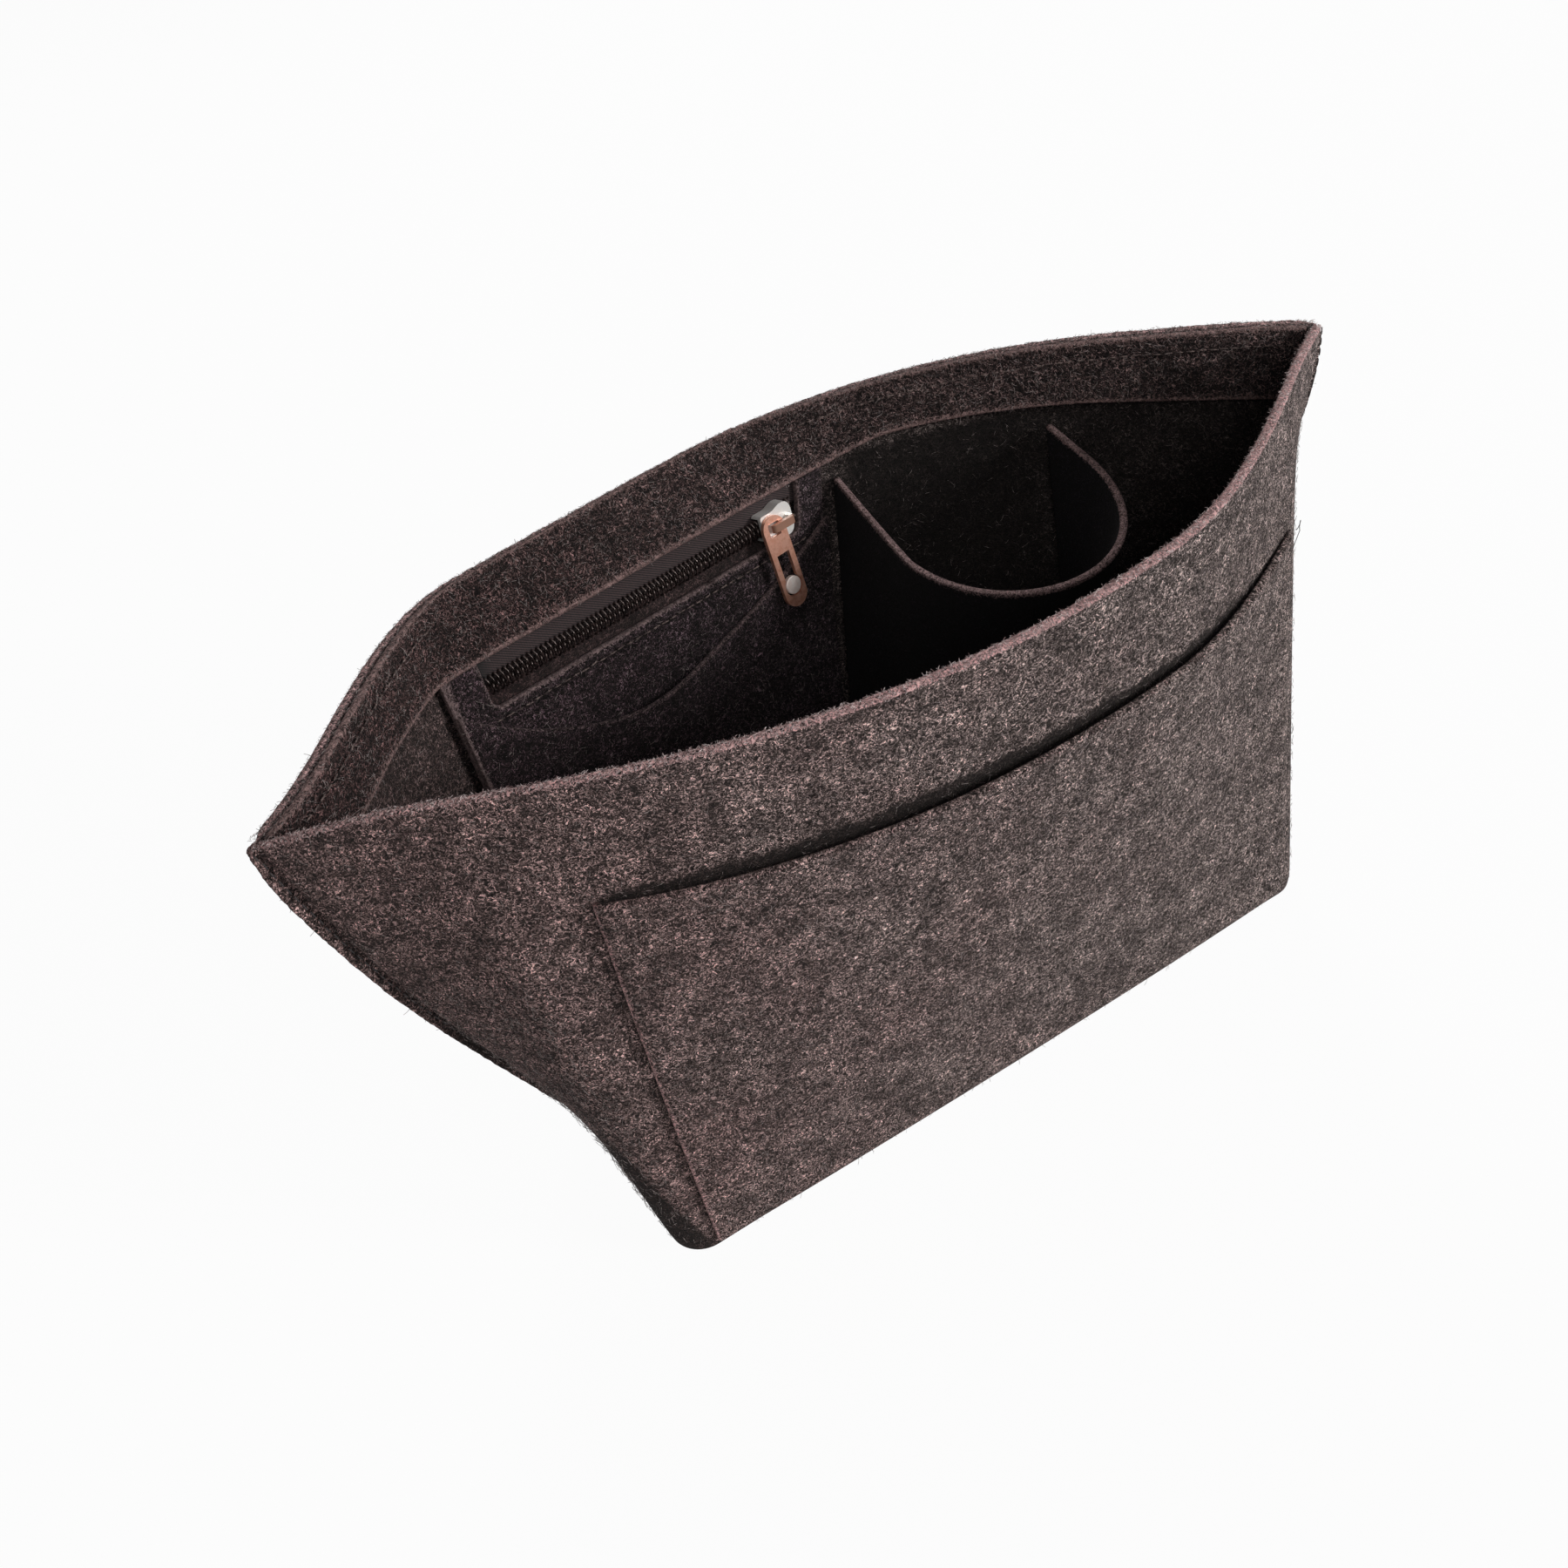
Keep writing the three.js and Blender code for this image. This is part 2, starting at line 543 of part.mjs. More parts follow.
// One half of the chain: a monofilament wound as a flattened coil, in the chain's frame
function coil(side) {
  const radius = COIL_WIRE / 2;
  const halfSpan = (COIL_OUTER + COIL_OVERLAP) / 2 - radius;
  const middle = (COIL_OUTER - COIL_OVERLAP) / 2;
  const rise = COIL_THICKNESS / 2 - radius;
  const shift = side > 0 ? 0 : COIL_PITCH / 2;
  const turns = Math.floor((SLOT_END - SLOT_START - COIL_PITCH) / COIL_PITCH);
  const centre = (step) => {
    const turn = step / COIL_STEPS;
    const angle = 2 * Math.PI * turn;
    const along = SLOT_START + COIL_PITCH / 2 + shift + turn * COIL_PITCH;
    const out = middle + halfSpan * Math.cos(angle) + partingAt(along);
    return vector(along - CHAIN_SPAN / 2, side * out, COIL_MIDDLE - rise * Math.sin(angle));
  };
  const points = [];
  const index = [];
  const last = turns * COIL_STEPS;
  for (let step = 0; step <= last; step += 1) {
    const here = centre(step);
    const tangent = centre(step + 1).sub(centre(step - 1)).normalize();
    const chainwise = vector(1, 0, 0).addScaledVector(tangent, -tangent.x).normalize();
    const outward = tangent.clone().cross(chainwise);
    for (const [a, b] of [[1, 0], [0, 1], [-1, 0], [0, -1]]) {
      const corner = here.clone().addScaledVector(chainwise, a * radius).addScaledVector(outward, b * radius);
      points.push(...corner.toArray());
    }
  }
  for (let step = 0; step < last; step += 1) {
    for (let k = 0; k < 4; k += 1) {
      const a = step * 4 + k;
      const b = step * 4 + ((k + 1) % 4);
      index.push(a, b, b + 4, a, b + 4, a + 4);
    }
  }
  const end = last * 4;
  index.push(0, 2, 1, 0, 3, 2, end, end + 1, end + 2, end, end + 2, end + 3);
  return facingOut(bodyOf(points, index));
}

// Outline of the slider seen from the front: broad nose at the open end, narrow tail
function sliderOutline(inset) {
  const half = SLIDER.length / 2;
  const front = SLIDER.frontHalf - inset;
  const rear = SLIDER.rearHalf - inset;
  const shape = new THREE.Shape();
  shape.moveTo(-half, -rear + SLIDER.tailRound);
  shape.quadraticCurveTo(-half, -rear, -half + SLIDER.tailRound, -rear);
  shape.lineTo(-half * 0.35, -rear);
  shape.bezierCurveTo(0, -rear, half * 0.1, -front, half * 0.45, -front);
  shape.quadraticCurveTo(half, -front, half, -front * 0.35);
  shape.lineTo(half, front * 0.35);
  shape.quadraticCurveTo(half, front, half * 0.45, front);
  shape.bezierCurveTo(half * 0.1, front, 0, rear, -half * 0.35, rear);
  shape.lineTo(-half + SLIDER.tailRound, rear);
  shape.quadraticCurveTo(-half, rear, -half, rear - SLIDER.tailRound);
  return shape;
}

// Wedge that parts the two halves of the chain, pointed towards the tail
function dividerShape() {
  const nose = SLIDER.length / 2 - DIVIDER.fromNose;
  const shape = new THREE.Shape();
  shape.moveTo(nose - DIVIDER.length, 0);
  shape.quadraticCurveTo(nose - DIVIDER.length * 0.6, -DIVIDER.halfWidth, nose, -DIVIDER.halfWidth);
  shape.lineTo(nose, DIVIDER.halfWidth);
  shape.quadraticCurveTo(nose - DIVIDER.length * 0.6, DIVIDER.halfWidth, nose - DIVIDER.length, 0);
  return shape;
}

// Bridge: a strap on two feet, drawn from the side and given its width
function bridge() {
  const low = PLATE_FRONT - FUSED;
  const under = PLATE_FRONT + BRIDGE.gap;
  const top = under + BRIDGE.strap;
  const left = BRIDGE.leftFoot - BRIDGE.foot / 2;
  const right = BRIDGE.rightFoot + BRIDGE.foot / 2;
  const shape = new THREE.Shape();
  shape.moveTo(left, low);
  shape.lineTo(left, under);
  shape.quadraticCurveTo(left, top, left + BRIDGE.bend, top);
  shape.lineTo(right - BRIDGE.nose, top);
  shape.quadraticCurveTo(right, top, right, under - BRIDGE.noseDrop);
  shape.lineTo(right, low);
  shape.lineTo(right - BRIDGE.foot, low);
  shape.lineTo(right - BRIDGE.foot, under);
  shape.lineTo(left + BRIDGE.foot, under);
  shape.lineTo(left + BRIDGE.foot, low);
  const body = extruded(shape, -BRIDGE.width / 2, BRIDGE.width / 2);
  return body.rotateX(Math.PI / 2);
}

function sliderBody() {
  const tapeBack = -SLIDER_CLEARANCE - SLIDER_PLAY;
  const plateShape = sliderOutline(0);
  const hollow = sliderOutline(SLIDER.flange);
  const frontPlate = solid(extruded(plateShape, PLATE_BACK, PLATE_FRONT, 6));
  const backPlate = solid(extruded(plateShape, tapeBack - SLIDER.backPlate, tapeBack, 6));
  const flangeFoot = TAPE_THICKNESS + SEAT + SLIDER_PLAY;
  const through = new THREE.Shape();
  through.moveTo(-SLIDER.length, -SLIDER.rearHalf + SLIDER.flange);
  through.lineTo(SLIDER.length, -SLIDER.rearHalf + SLIDER.flange);
  through.lineTo(SLIDER.length, SLIDER.rearHalf - SLIDER.flange);
  through.lineTo(-SLIDER.length, SLIDER.rearHalf - SLIDER.flange);
  const noseCut = roundedRectangle(SLIDER.length * 0.3, SLIDER.length, -SLIDER.frontHalf + SLIDER.flange,
    SLIDER.frontHalf - SLIDER.flange, FUSED);
  const flanges = solid(extruded(plateShape, flangeFoot, PLATE_BACK + FUSED, 6))
    .subtract(solid(extruded(hollow, flangeFoot - SLIDER.plate, PLATE_FRONT, 6)))
    .subtract(solid(extruded(through, flangeFoot - SLIDER.plate, PLATE_FRONT)))
    .subtract(solid(extruded(noseCut, flangeFoot - SLIDER.plate, PLATE_FRONT, 2)));
  const divider = solid(extruded(dividerShape(), tapeBack - FUSED, PLATE_BACK + FUSED, 4));
  const whole = frontPlate.add(backPlate).add(flanges).add(divider).add(solid(bridge()));
  return geometryOf(whole);
}

// Pull: a stamped strip with a square eye and a slot that ends in a round bowl, hanging along -Y
function pullTab() {
  const half = PULL.width / 2;
  const tip = -(PULL.length - half);
  const shape = new THREE.Shape();
  shape.moveTo(half, 0);
  shape.absarc(0, 0, half, 0, Math.PI, false);
  shape.lineTo(-half, tip + half);
  shape.absarc(0, tip + half, half, Math.PI, 2 * Math.PI, false);
  const eye = PULL.eye / 2;
  const eyeHole = roundedRectangle(-eye, eye, -eye, eye, PULL.eyeCorner);
  const bowlY = tip + PULL_DISC.fromTip;
  const neck = Math.sqrt((PULL.bowl / 2) ** 2 - (PULL.slotWidth / 2) ** 2);
  const bowlAngle = Math.atan2(neck, PULL.slotWidth / 2);
  const slot = new THREE.Path();
  slot.moveTo(PULL.slotWidth / 2, -PULL.slotTop);
  slot.lineTo(-PULL.slotWidth / 2, -PULL.slotTop);
  slot.lineTo(-PULL.slotWidth / 2, bowlY + neck);
  slot.absarc(0, bowlY, PULL.bowl / 2, Math.PI - bowlAngle, 2 * Math.PI + bowlAngle, false);
  shape.holes.push(eyeHole, slot);
  return extruded(shape, -PULL.thickness / 2, PULL.thickness / 2, 12);
}

// Plain disc held in the bowl of the pull by a short bar on each side
function pullDisc() {
  const profile = [[0, -1], [0.9, -1], [1, -0.7], [1, 0.7], [0.9, 1], [0, 1]]
    .map(([r, z]) => new THREE.Vector2((r * PULL_DISC.diameter) / 2, (z * PULL_DISC.thickness) / 2));
  const disc = new THREE.LatheGeometry(profile, 24).rotateX(Math.PI / 2);
  return disc.translate(0, PULL.width / 2 - PULL.length + PULL_DISC.fromTip, 0);
}

function named(name, geometry, material) {
  const mesh = new THREE.Mesh(geometry, material);
  mesh.name = name;
  return mesh;
}

const bag = new THREE.Group();
bag.add(
  named("front_panel", wallPanel(FRONT), feltMaterial()),
  named("back_panel", wallPanel(BACK), feltMaterial()),
  named("base_panel", basePanel(), feltMaterial()),
  named("rim_facing", facing(), feltMaterial()),
  named("outer_pocket", outerPocket(), feltMaterial()),
  named("zip_pocket_panel", zipPanel(), feltMaterial()),
  named("slip_pocket", slipPocket(), feltMaterial()),
  named("bottle_pocket", bottlePocket(), feltMaterial()),
  named("zip_tape_upper", tape(1), tapeMaterial()),
  named("zip_tape_lower", tape(-1), tapeMaterial()),
);

const chain = chainFrame(CHAIN_SPAN / 2);
chain.add(
  named("zip_coil_upper", coil(1), coilMaterial()),
  named("zip_coil_lower", coil(-1), coilMaterial()),
);
bag.add(chain);

// The slider sits at the closed end; the pull hangs plumb from the bridge's left foot
const sliderFrame = chainFrame(SLIDER_REST);
sliderFrame.add(named("slider_body", sliderBody(), zincMaterial()));
const plumb = vector(0, 0, -1).applyQuaternion(sliderFrame.quaternion.clone().invert());
const pull = new THREE.Group();
pull.position.set(BRIDGE.leftFoot + PULL_SLACK.along, -PULL_SLACK.down, PLATE_FRONT + BRIDGE.gap / 2);
pull.rotation.order = "ZXY";
pull.rotation.set(-THREE.MathUtils.degToRad(PULL_SLACK.tilt), 0, Math.atan2(plumb.x, -plumb.y));
pull.add(named("pull_tab", pullTab(), copperMaterial()), named("pull_disc", pullDisc(), zincMaterial()));
sliderFrame.add(pull);
bag.add(sliderFrame);

export default bag;
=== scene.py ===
# Looks of a felt cosmetic bag: melange felt panels with raw fluffy edges, topstitching, a coil zip
# with its slider and pull, and the pockets. Surfaces are worked out in millimetres in the part's own
# frame (+Z up, +X to the right, +Y to the back) and become metres when a mesh is made.
import math

import bmesh
import bpy
import numpy as np
from mathutils import Matrix, Vector


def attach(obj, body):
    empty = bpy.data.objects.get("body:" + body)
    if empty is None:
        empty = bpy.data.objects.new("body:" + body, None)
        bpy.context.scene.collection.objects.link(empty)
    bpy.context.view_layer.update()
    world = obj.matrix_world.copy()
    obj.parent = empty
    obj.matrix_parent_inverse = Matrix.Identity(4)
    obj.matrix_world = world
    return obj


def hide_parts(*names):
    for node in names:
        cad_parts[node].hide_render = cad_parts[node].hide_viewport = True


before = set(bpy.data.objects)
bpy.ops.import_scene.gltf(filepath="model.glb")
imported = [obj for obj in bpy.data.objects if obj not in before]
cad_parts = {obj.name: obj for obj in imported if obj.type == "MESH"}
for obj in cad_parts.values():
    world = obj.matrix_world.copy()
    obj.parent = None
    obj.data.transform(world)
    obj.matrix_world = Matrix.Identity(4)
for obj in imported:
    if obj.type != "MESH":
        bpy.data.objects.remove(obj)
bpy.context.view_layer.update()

MM = 0.001
FRONT = -1
BACK = 1

# Felt, in millimetres, as in the part's source
FELT = 2.2
POCKET_FELT = 1.8
SLIP_FELT = 1.5
SEAT = 0.3

# Base and walls. A share runs from -1 at the left seam to 1 at the right seam.
BASE_HALF_LENGTH = 97.7
BASE_HALF_DEPTH = 31.4
BASE_CORNER = 8
WALL_HEIGHT = 146
CREASE_HEIGHT = 18
CREASE_FLARE = 4
LEFT_FLARE = 44.5
RIGHT_FLARE = 26.1
TIP_SLEW = 1.5
FRONT_BOW = 50.3
FRONT_CREST = 0.338
FRONT_CREST_SLOPE = 0.154
FRONT_TIP_SLOPES = (-0.79, 0.67)
BACK_BOW = 68.7
BACK_CREST = 0
BACK_SHOULDER_BOW = 52.6
BACK_SHOULDER = -0.518
BACK_TIP_SLOPES = (0.168, -0.705)
COLUMN_CROWDING = 0.03
INNER_LENGTH = BASE_HALF_LENGTH - FELT
INNER_DEPTH = BASE_HALF_DEPTH - FELT
INNER_CORNER = BASE_CORNER - FELT
MOUTH_MIDDLE = (RIGHT_FLARE - LEFT_FLARE) / 2
MOUTH_HALF = BASE_HALF_LENGTH + (RIGHT_FLARE + LEFT_FLARE) / 2

# How far each side seam sways off a straight line: height, offset and slope
SEAM_SWAY = {-1: [(0, 0, -0.08), (27, -3.3, 0), (50, -1.0, 0.11), (100, 3.2, 0), (146, 0.5, -0.12)],
             1: [(0, 0, -0.08), (70, -3.8, 0), (113, -2.9, 0.08), (131, 0.8, 0.12), (146, 1.3, -0.1)]}
SWAY_FROM = 0.8

# Fins past the side seams, at the left and at the right
FIN_WIDTH = {-1: 3.2, 1: 2.2}
FIN_DROOP = 1.8
FIN_DROOP_HEIGHT = 12
FIN_START = 14
FIN_FULL = 44
FIN_STUB = 0.4
FIN_TRIM = 1.4
FIN_TRIM_HEIGHTS = (WALL_HEIGHT - 14, WALL_HEIGHT + 2)
FIN_COLUMNS = 5

# Facing inside the back of the mouth
FACING_HEIGHT = 15.8
FACING_SEAT = 0.5
FACING_END = 0.985
FACING_OFF_TAPE = 0.2
FACING_FOOT = WALL_HEIGHT - FACING_HEIGHT
STITCH_UNDER_RIM = 4.2

# Outer pocket: heights of its mouth, and its ends as shares at its foot and at its mouth
POCKET_TOP = (115.3, 112)
POCKET_DIPS_FROM = 0.45
POCKET_FOOT = 2
POCKET_BOW = 2.2
POCKET_GAPE = POCKET_BOW + 0.7
POCKET_LEFT = (-0.73, -0.622)
POCKET_RIGHT = (0.74, 0.737)

# Flat block of the zip pocket, its ends as shares at the base and at the rim, and the slot in its panel
BLOCK_LEFT = (-0.715, -0.605)
BLOCK_RIGHT = (-0.05, 0.235)
BLOCK_FOOT = 10
BLOCK_SEAT = 0.95
CHAIN_DROP = (21.8, 22.3)
SLOT_HALF_WIDTH = 5.8
SLOT_LEFT_MARGIN = 11.5
ZIP_BRIM = 2
SLOT_RIGHT_MARGIN = 8.2
SLOT_CORNER = 2.5
PANEL_TOP = FACING_FOOT - SEAT

# Slip pocket
SLIP_DROP = 45.4
SLIP_MIDDLE = 0.42
SLIP_RISE = (21.2, 17.5)
SLIP_BOW = 3.2
SLIP_BOW_SPAN = (0.2, 0.68)

# Bottle pocket
BOTTLE_TOP = (0.228, 0.602)
BOTTLE_FEET = (-0.028, 0.6)
BOTTLE_DROP = 20.5
BOTTLE_FOOT = 10
BOTTLE_SEAT = 1
LOOP_REACH = 60.83
LOOP_HALF_WIDTH = 27.5
LOOP_NOSE = 35
LOOP_SAG = 9
LOOP_LEAN = 3

# Tapes, coils and slider
TAPE_THICKNESS = 0.5
TAPE_HIDDEN = 3.2
TAPE_UNDER_FACING = 0.5
TAPE_PAST_SLOT = 2.5
TAPE_EDGE_GAP = 0.2
COIL_PITCH = 1.34
COIL_WIRE = 0.5
COIL_OUTER = 2.45
COIL_OVERLAP = 0.5
COIL_THICKNESS = 2.3
PARTING = 1.22
PARTING_LENGTH = 5
SLIDER_LENGTH = 9.8
SLIDER_FROM_SLOT_END = 8.8
SLIDER_CLEARANCE = 0.25
SLIDER_PLATE = 1.1
STRAP_RISE = 1.5
DIVIDER_LENGTH = 3
DIVIDER_FROM_NOSE = 0.9
PANEL_STANDOFF = TAPE_THICKNESS + SEAT
COIL_BACK = TAPE_THICKNESS + SEAT


# Surfaces of the bag

def mix(a, b, t):
    return a + (b - a) * t


def ease(value, low, high):
    """Smooth step from 0 at low to 1 at high."""
    t = np.clip((value - low) / (high - low), 0, 1)
    return t * t * (3 - 2 * t)


def channel(gap, depth, width):
    """Bell of the given depth around a line, gap millimetres from it."""
    return depth * np.exp(-(gap / width) ** 2)


def stack(x, y, z):
    return np.stack(np.broadcast_arrays(x, y, z), axis=-1).astype(float)


def unit(v):
    return v / np.maximum(np.linalg.norm(v, axis=-1, keepdims=True), 1e-9)


def through_knots(x, knots):
    """Smooth curve through knots of place, value and slope."""
    y = np.zeros_like(x)
    for (x0, y0, m0), (x1, y1, m1) in zip(knots, knots[1:]):
        span = x1 - x0
        t = np.clip((x - x0) / span, 0, 1)
        piece = (2 * t**3 - 3 * t**2 + 1) * y0 + (t**3 - 2 * t**2 + t) * span * m0
        piece = piece + (3 * t**2 - 2 * t**3) * y1 + (t**3 - t**2) * span * m1
        y = np.where((x >= x0) | (x0 == knots[0][0]), piece, y)
    return y


def foot_of(share, side):
    """Foot of a wall round the base: x, y, and how far round its end it is."""
    straight = INNER_LENGTH - INNER_CORNER
    arc = math.pi / 2 * INNER_CORNER
    end = INNER_DEPTH - INNER_CORNER
    along = np.abs(share) * (straight + arc + end)
    turn = np.clip((along - straight) / INNER_CORNER, 0, math.pi / 2)
    x = np.minimum(along, straight) + INNER_CORNER * np.sin(turn)
    past = np.maximum(along - straight - arc, 0)
    y = INNER_DEPTH - INNER_CORNER * (1 - np.cos(turn)) - past
    return np.sign(share) * x, side * y, np.clip((along - straight) / (arc + end), 0, 1)


def mouth_x(share):
    return MOUTH_MIDDLE + MOUTH_HALF * share


def mouth_knots(side):
    """Plan of the mouth on one side, from the left tip to the right."""
    left = (mouth_x(-1), TIP_SLEW)
    right = (mouth_x(1), -TIP_SLEW)
    if side == FRONT:
        return [(*left, FRONT_TIP_SLOPES[0]), (mouth_x(FRONT_CREST), -FRONT_BOW, FRONT_CREST_SLOPE),
                (*right, FRONT_TIP_SLOPES[1])]
    straight = (BACK_BOW - BACK_SHOULDER_BOW) / (mouth_x(BACK_CREST) - mouth_x(BACK_SHOULDER))
    return [(*left, BACK_TIP_SLOPES[0]), (mouth_x(BACK_SHOULDER), BACK_SHOULDER_BOW, straight),
            (mouth_x(BACK_CREST), BACK_BOW, straight), (*right, BACK_TIP_SLOPES[1])]


KNOTS = {FRONT: mouth_knots(FRONT), BACK: mouth_knots(BACK)}


def rim_of(share, side):
    x = mouth_x(share + COLUMN_CROWDING * np.sin(math.pi * share))
    return x, through_knots(x, KNOTS[side])


def wall(share, height, side):
    """Inner face of a wall: a straight strip of felt up from the crease near the base end."""
    share, height = np.broadcast_arrays(np.asarray(share, float), np.asarray(height, float))
    foot_x, foot_y, turn = foot_of(share, side)
    rim_x, rim_y = rim_of(share, side)
    start = stack(foot_x, foot_y, 0)
    crease = stack(foot_x + np.sign(share) * CREASE_FLARE * turn, foot_y, CREASE_HEIGHT * turn)
    below = np.linalg.norm(crease - start, axis=-1)
    above = WALL_HEIGHT - below
    reach = np.hypot(rim_x - crease[..., 0], rim_y - crease[..., 1])
    top = stack(rim_x, rim_y, crease[..., 2] + np.sqrt(np.maximum(above**2 - reach**2, 0)))
    low = start + (crease - start) * (height / np.maximum(below, 1e-6))[..., None]
    high = crease + (top - crease) * ((height - below) / above)[..., None]
    place = np.where((height < below)[..., None], low, high)
    place[..., 0] += seam_sway(share, height)
    return place


def seam_sway(share, height):
    left = through_knots(height, SEAM_SWAY[-1])
    right = through_knots(height, SEAM_SWAY[1])
    return np.sign(share) * np.where(share > 0, right, left) * ease(np.abs(share), SWAY_FROM, 1)


def normal_of(surface, a, b, step_a, step_b, facing):
    """Normal of a surface, from its points a small step away."""
    across = surface(a + step_a, b) - surface(a - step_a, b)
    up = surface(a, b + step_b) - surface(a, b - step_b)
    return unit(np.cross(across, up)) * facing


LAST_SHARE = 0.998
LAST_ROW = 1


def wall_inward(share, height, side):
    """Way into the bag, off a wall's inner face."""
    s = np.clip(share, -LAST_SHARE, LAST_SHARE)
    h = np.clip(height, LAST_ROW, WALL_HEIGHT - LAST_ROW)
    return normal_of(lambda a, b: wall(a, b, side), s, h, 0.002, 0.5, side)


def inside_wall(share, height, side, off):
    return wall(share, height, side) + wall_inward(share, height, side) * np.asarray(off, float)[..., None]


def block_share(pair, height):
    return mix(pair[0], pair[1], height / WALL_HEIGHT)


def block_point(across, height):
    """Flat block of the zip pocket: a chord across the bowed back wall at every height."""
    across, height = np.broadcast_arrays(np.asarray(across, float), np.asarray(height, float))
    left = inside_wall(block_share(BLOCK_LEFT, height), height, BACK, BLOCK_SEAT - PANEL_STANDOFF)
    right = inside_wall(block_share(BLOCK_RIGHT, height), height, BACK, BLOCK_SEAT - PANEL_STANDOFF)
    return left + (right - left) * across[..., None]


def block_inward(across, height):
    return normal_of(block_point, across, height, 0.01, 1, 1)


def on_block(across, height, off):
    return block_point(across, height) + block_inward(across, height) * np.asarray(off, float)[..., None]


def chain_height(across):
    return WALL_HEIGHT - mix(CHAIN_DROP[0], CHAIN_DROP[1], across)


chain_left = block_point(0.0, chain_height(0.0))
chain_right = block_point(1.0, chain_height(1.0))
CHAIN_SPAN = float(np.linalg.norm(chain_right - chain_left))
chain_axis = unit(chain_right - chain_left)
SLOT_START = SLOT_LEFT_MARGIN - ZIP_BRIM
SLOT_END = CHAIN_SPAN - SLOT_RIGHT_MARGIN
SLIDER_REST = SLOT_END - SLIDER_FROM_SLOT_END
PARTED = SLIDER_REST + SLIDER_LENGTH / 2 - DIVIDER_FROM_NOSE - DIVIDER_LENGTH / 2


def chain_frame(along):
    """Place on the chain, in metres: x along it, y up the block and z into the bag."""
    across = along / CHAIN_SPAN
    inward = block_inward(across, chain_height(across))
    up = unit(np.cross(inward, chain_axis))
    normal = unit(np.cross(chain_axis, up))
    place = chain_left + chain_axis * along
    rows = [[chain_axis[i], up[i], normal[i], place[i] * MM] for i in range(3)]
    return Matrix([*rows, [0, 0, 0, 1]])


def parting_at(along):
    """How far each half of the chain stands off the middle line, open under the slider."""
    return PARTING * ease(along, PARTED - PARTING_LENGTH, PARTED)


# Grids of cloth

def spaced(*runs):
    """Values in a row from runs of start, end and count."""
    values = [np.linspace(a, b, n, endpoint=False) for a, b, n in runs]
    return np.concatenate([*values, [runs[-1][1]]])


def lengths(grid, axis):
    """Length along the cloth, in millimetres, from the start of the axis."""
    step = np.linalg.norm(np.diff(grid, axis=axis), axis=-1)
    pad = [(0, 0), (0, 0)]
    pad[axis] = (1, 0)
    return np.pad(np.cumsum(step, axis=axis), pad)


def grid_normals(grid, facing):
    across = np.gradient(grid, axis=0)
    up = np.gradient(grid, axis=1)
    return unit(np.cross(across, up)) * facing


BEND_REACH = 3.0


def round_bends(grid, bends, passes):
    """Rounds the bends that run up the cloth at the given columns."""
    columns = np.arange(len(grid))
    weight = sum(np.exp(-((columns - bend) / BEND_REACH) ** 2) for bend in bends)
    w = np.clip(weight, 0, 1)[1:-1, None, None] * 0.5
    for _ in range(passes):
        middle = (grid[:-2] + grid[2:]) / 2
        grid[1:-1] = grid[1:-1] * (1 - w) + middle * w
    return grid


def smooth_rows(grid, low, high, passes):
    """Rounds a bend that runs across the cloth between two rows."""
    for _ in range(passes):
        middle = (grid[:, low - 1:high - 1] + grid[:, low + 1:high + 1]) / 2
        grid[:, low:high] = (grid[:, low:high] + middle) / 2
    return grid


def cell_middles(values):
    return (values[:-1, :-1] + values[1:, 1:]) / 2


def cells_at_points(mask):
    """How many kept cells meet at each grid point."""
    columns, rows = mask.shape
    count = np.zeros((columns + 1, rows + 1), int)
    for i in (0, 1):
        for j in (0, 1):
            count[i:columns + i, j:rows + j] += mask
    return count


def open_sides(mask):
    """Sides of the kept cells that no other kept cell shares, each as its two grid points."""
    sides = {}
    for c, r in zip(*np.nonzero(mask)):
        loop = [(c, r), (c + 1, r), (c + 1, r + 1), (c, r + 1)]
        for a, b in zip(loop, loop[1:] + loop[:1]):
            if (b, a) in sides:
                del sides[(b, a)]
            else:
                sides[(a, b)] = True
    return list(sides)


def way_out_of(point, near, normals, mask):
    """Way off the cloth's border at a grid point, away from the kept cells that meet there."""
    c, r = point
    cells = [(i, j) for i in (c - 1, c) for j in (r - 1, r)
             if 0 <= i < mask.shape[0] and 0 <= j < mask.shape[1] and mask[i, j]]
    inside = np.mean([(near[i, j] + near[i + 1, j + 1]) / 2 for i, j in cells], axis=0)
    out = unit(near[c, r] - inside)
    return unit(out - normals[c, r] * np.dot(out, normals[c, r]))


def cut_light(grid, raw, fade):
    """How pale the felt is near its cut sides: at the low row, high row, first and last column."""
    up = lengths(grid, 1)
    along = lengths(grid, 0)
    light = np.zeros(grid.shape[:2])
    for weight, gap in zip(raw, (up, up[:, -1:] - up, along, along[-1:] - along)):
        light = np.maximum(light, weight * np.exp(-gap / fade))
    return light


# Meshes

def placed(name, data):
    """New object in the scene."""
    thing = bpy.data.objects.new(name, data)
    bpy.context.scene.collection.objects.link(thing)
    return thing


def point_values(mesh, label, values):
    """Stores a number or a vector with every point of a mesh."""
    values = np.asarray(values, np.float32)
    kind, slot = ("FLOAT_VECTOR", "vector") if values.ndim > 1 else ("FLOAT", "value")
    mesh.attributes.new(label, kind, "POINT").data.foreach_set(slot, values.ravel())


def turn_outwards(mesh):
    """Turns every face over if the body came out inside out."""
    bm = bmesh.new()
    bm.from_mesh(mesh)
    if bm.calc_volume(signed=True) < 0:
        bmesh.ops.reverse_faces(bm, faces=bm.faces)
        bm.to_mesh(mesh)
    bm.free()


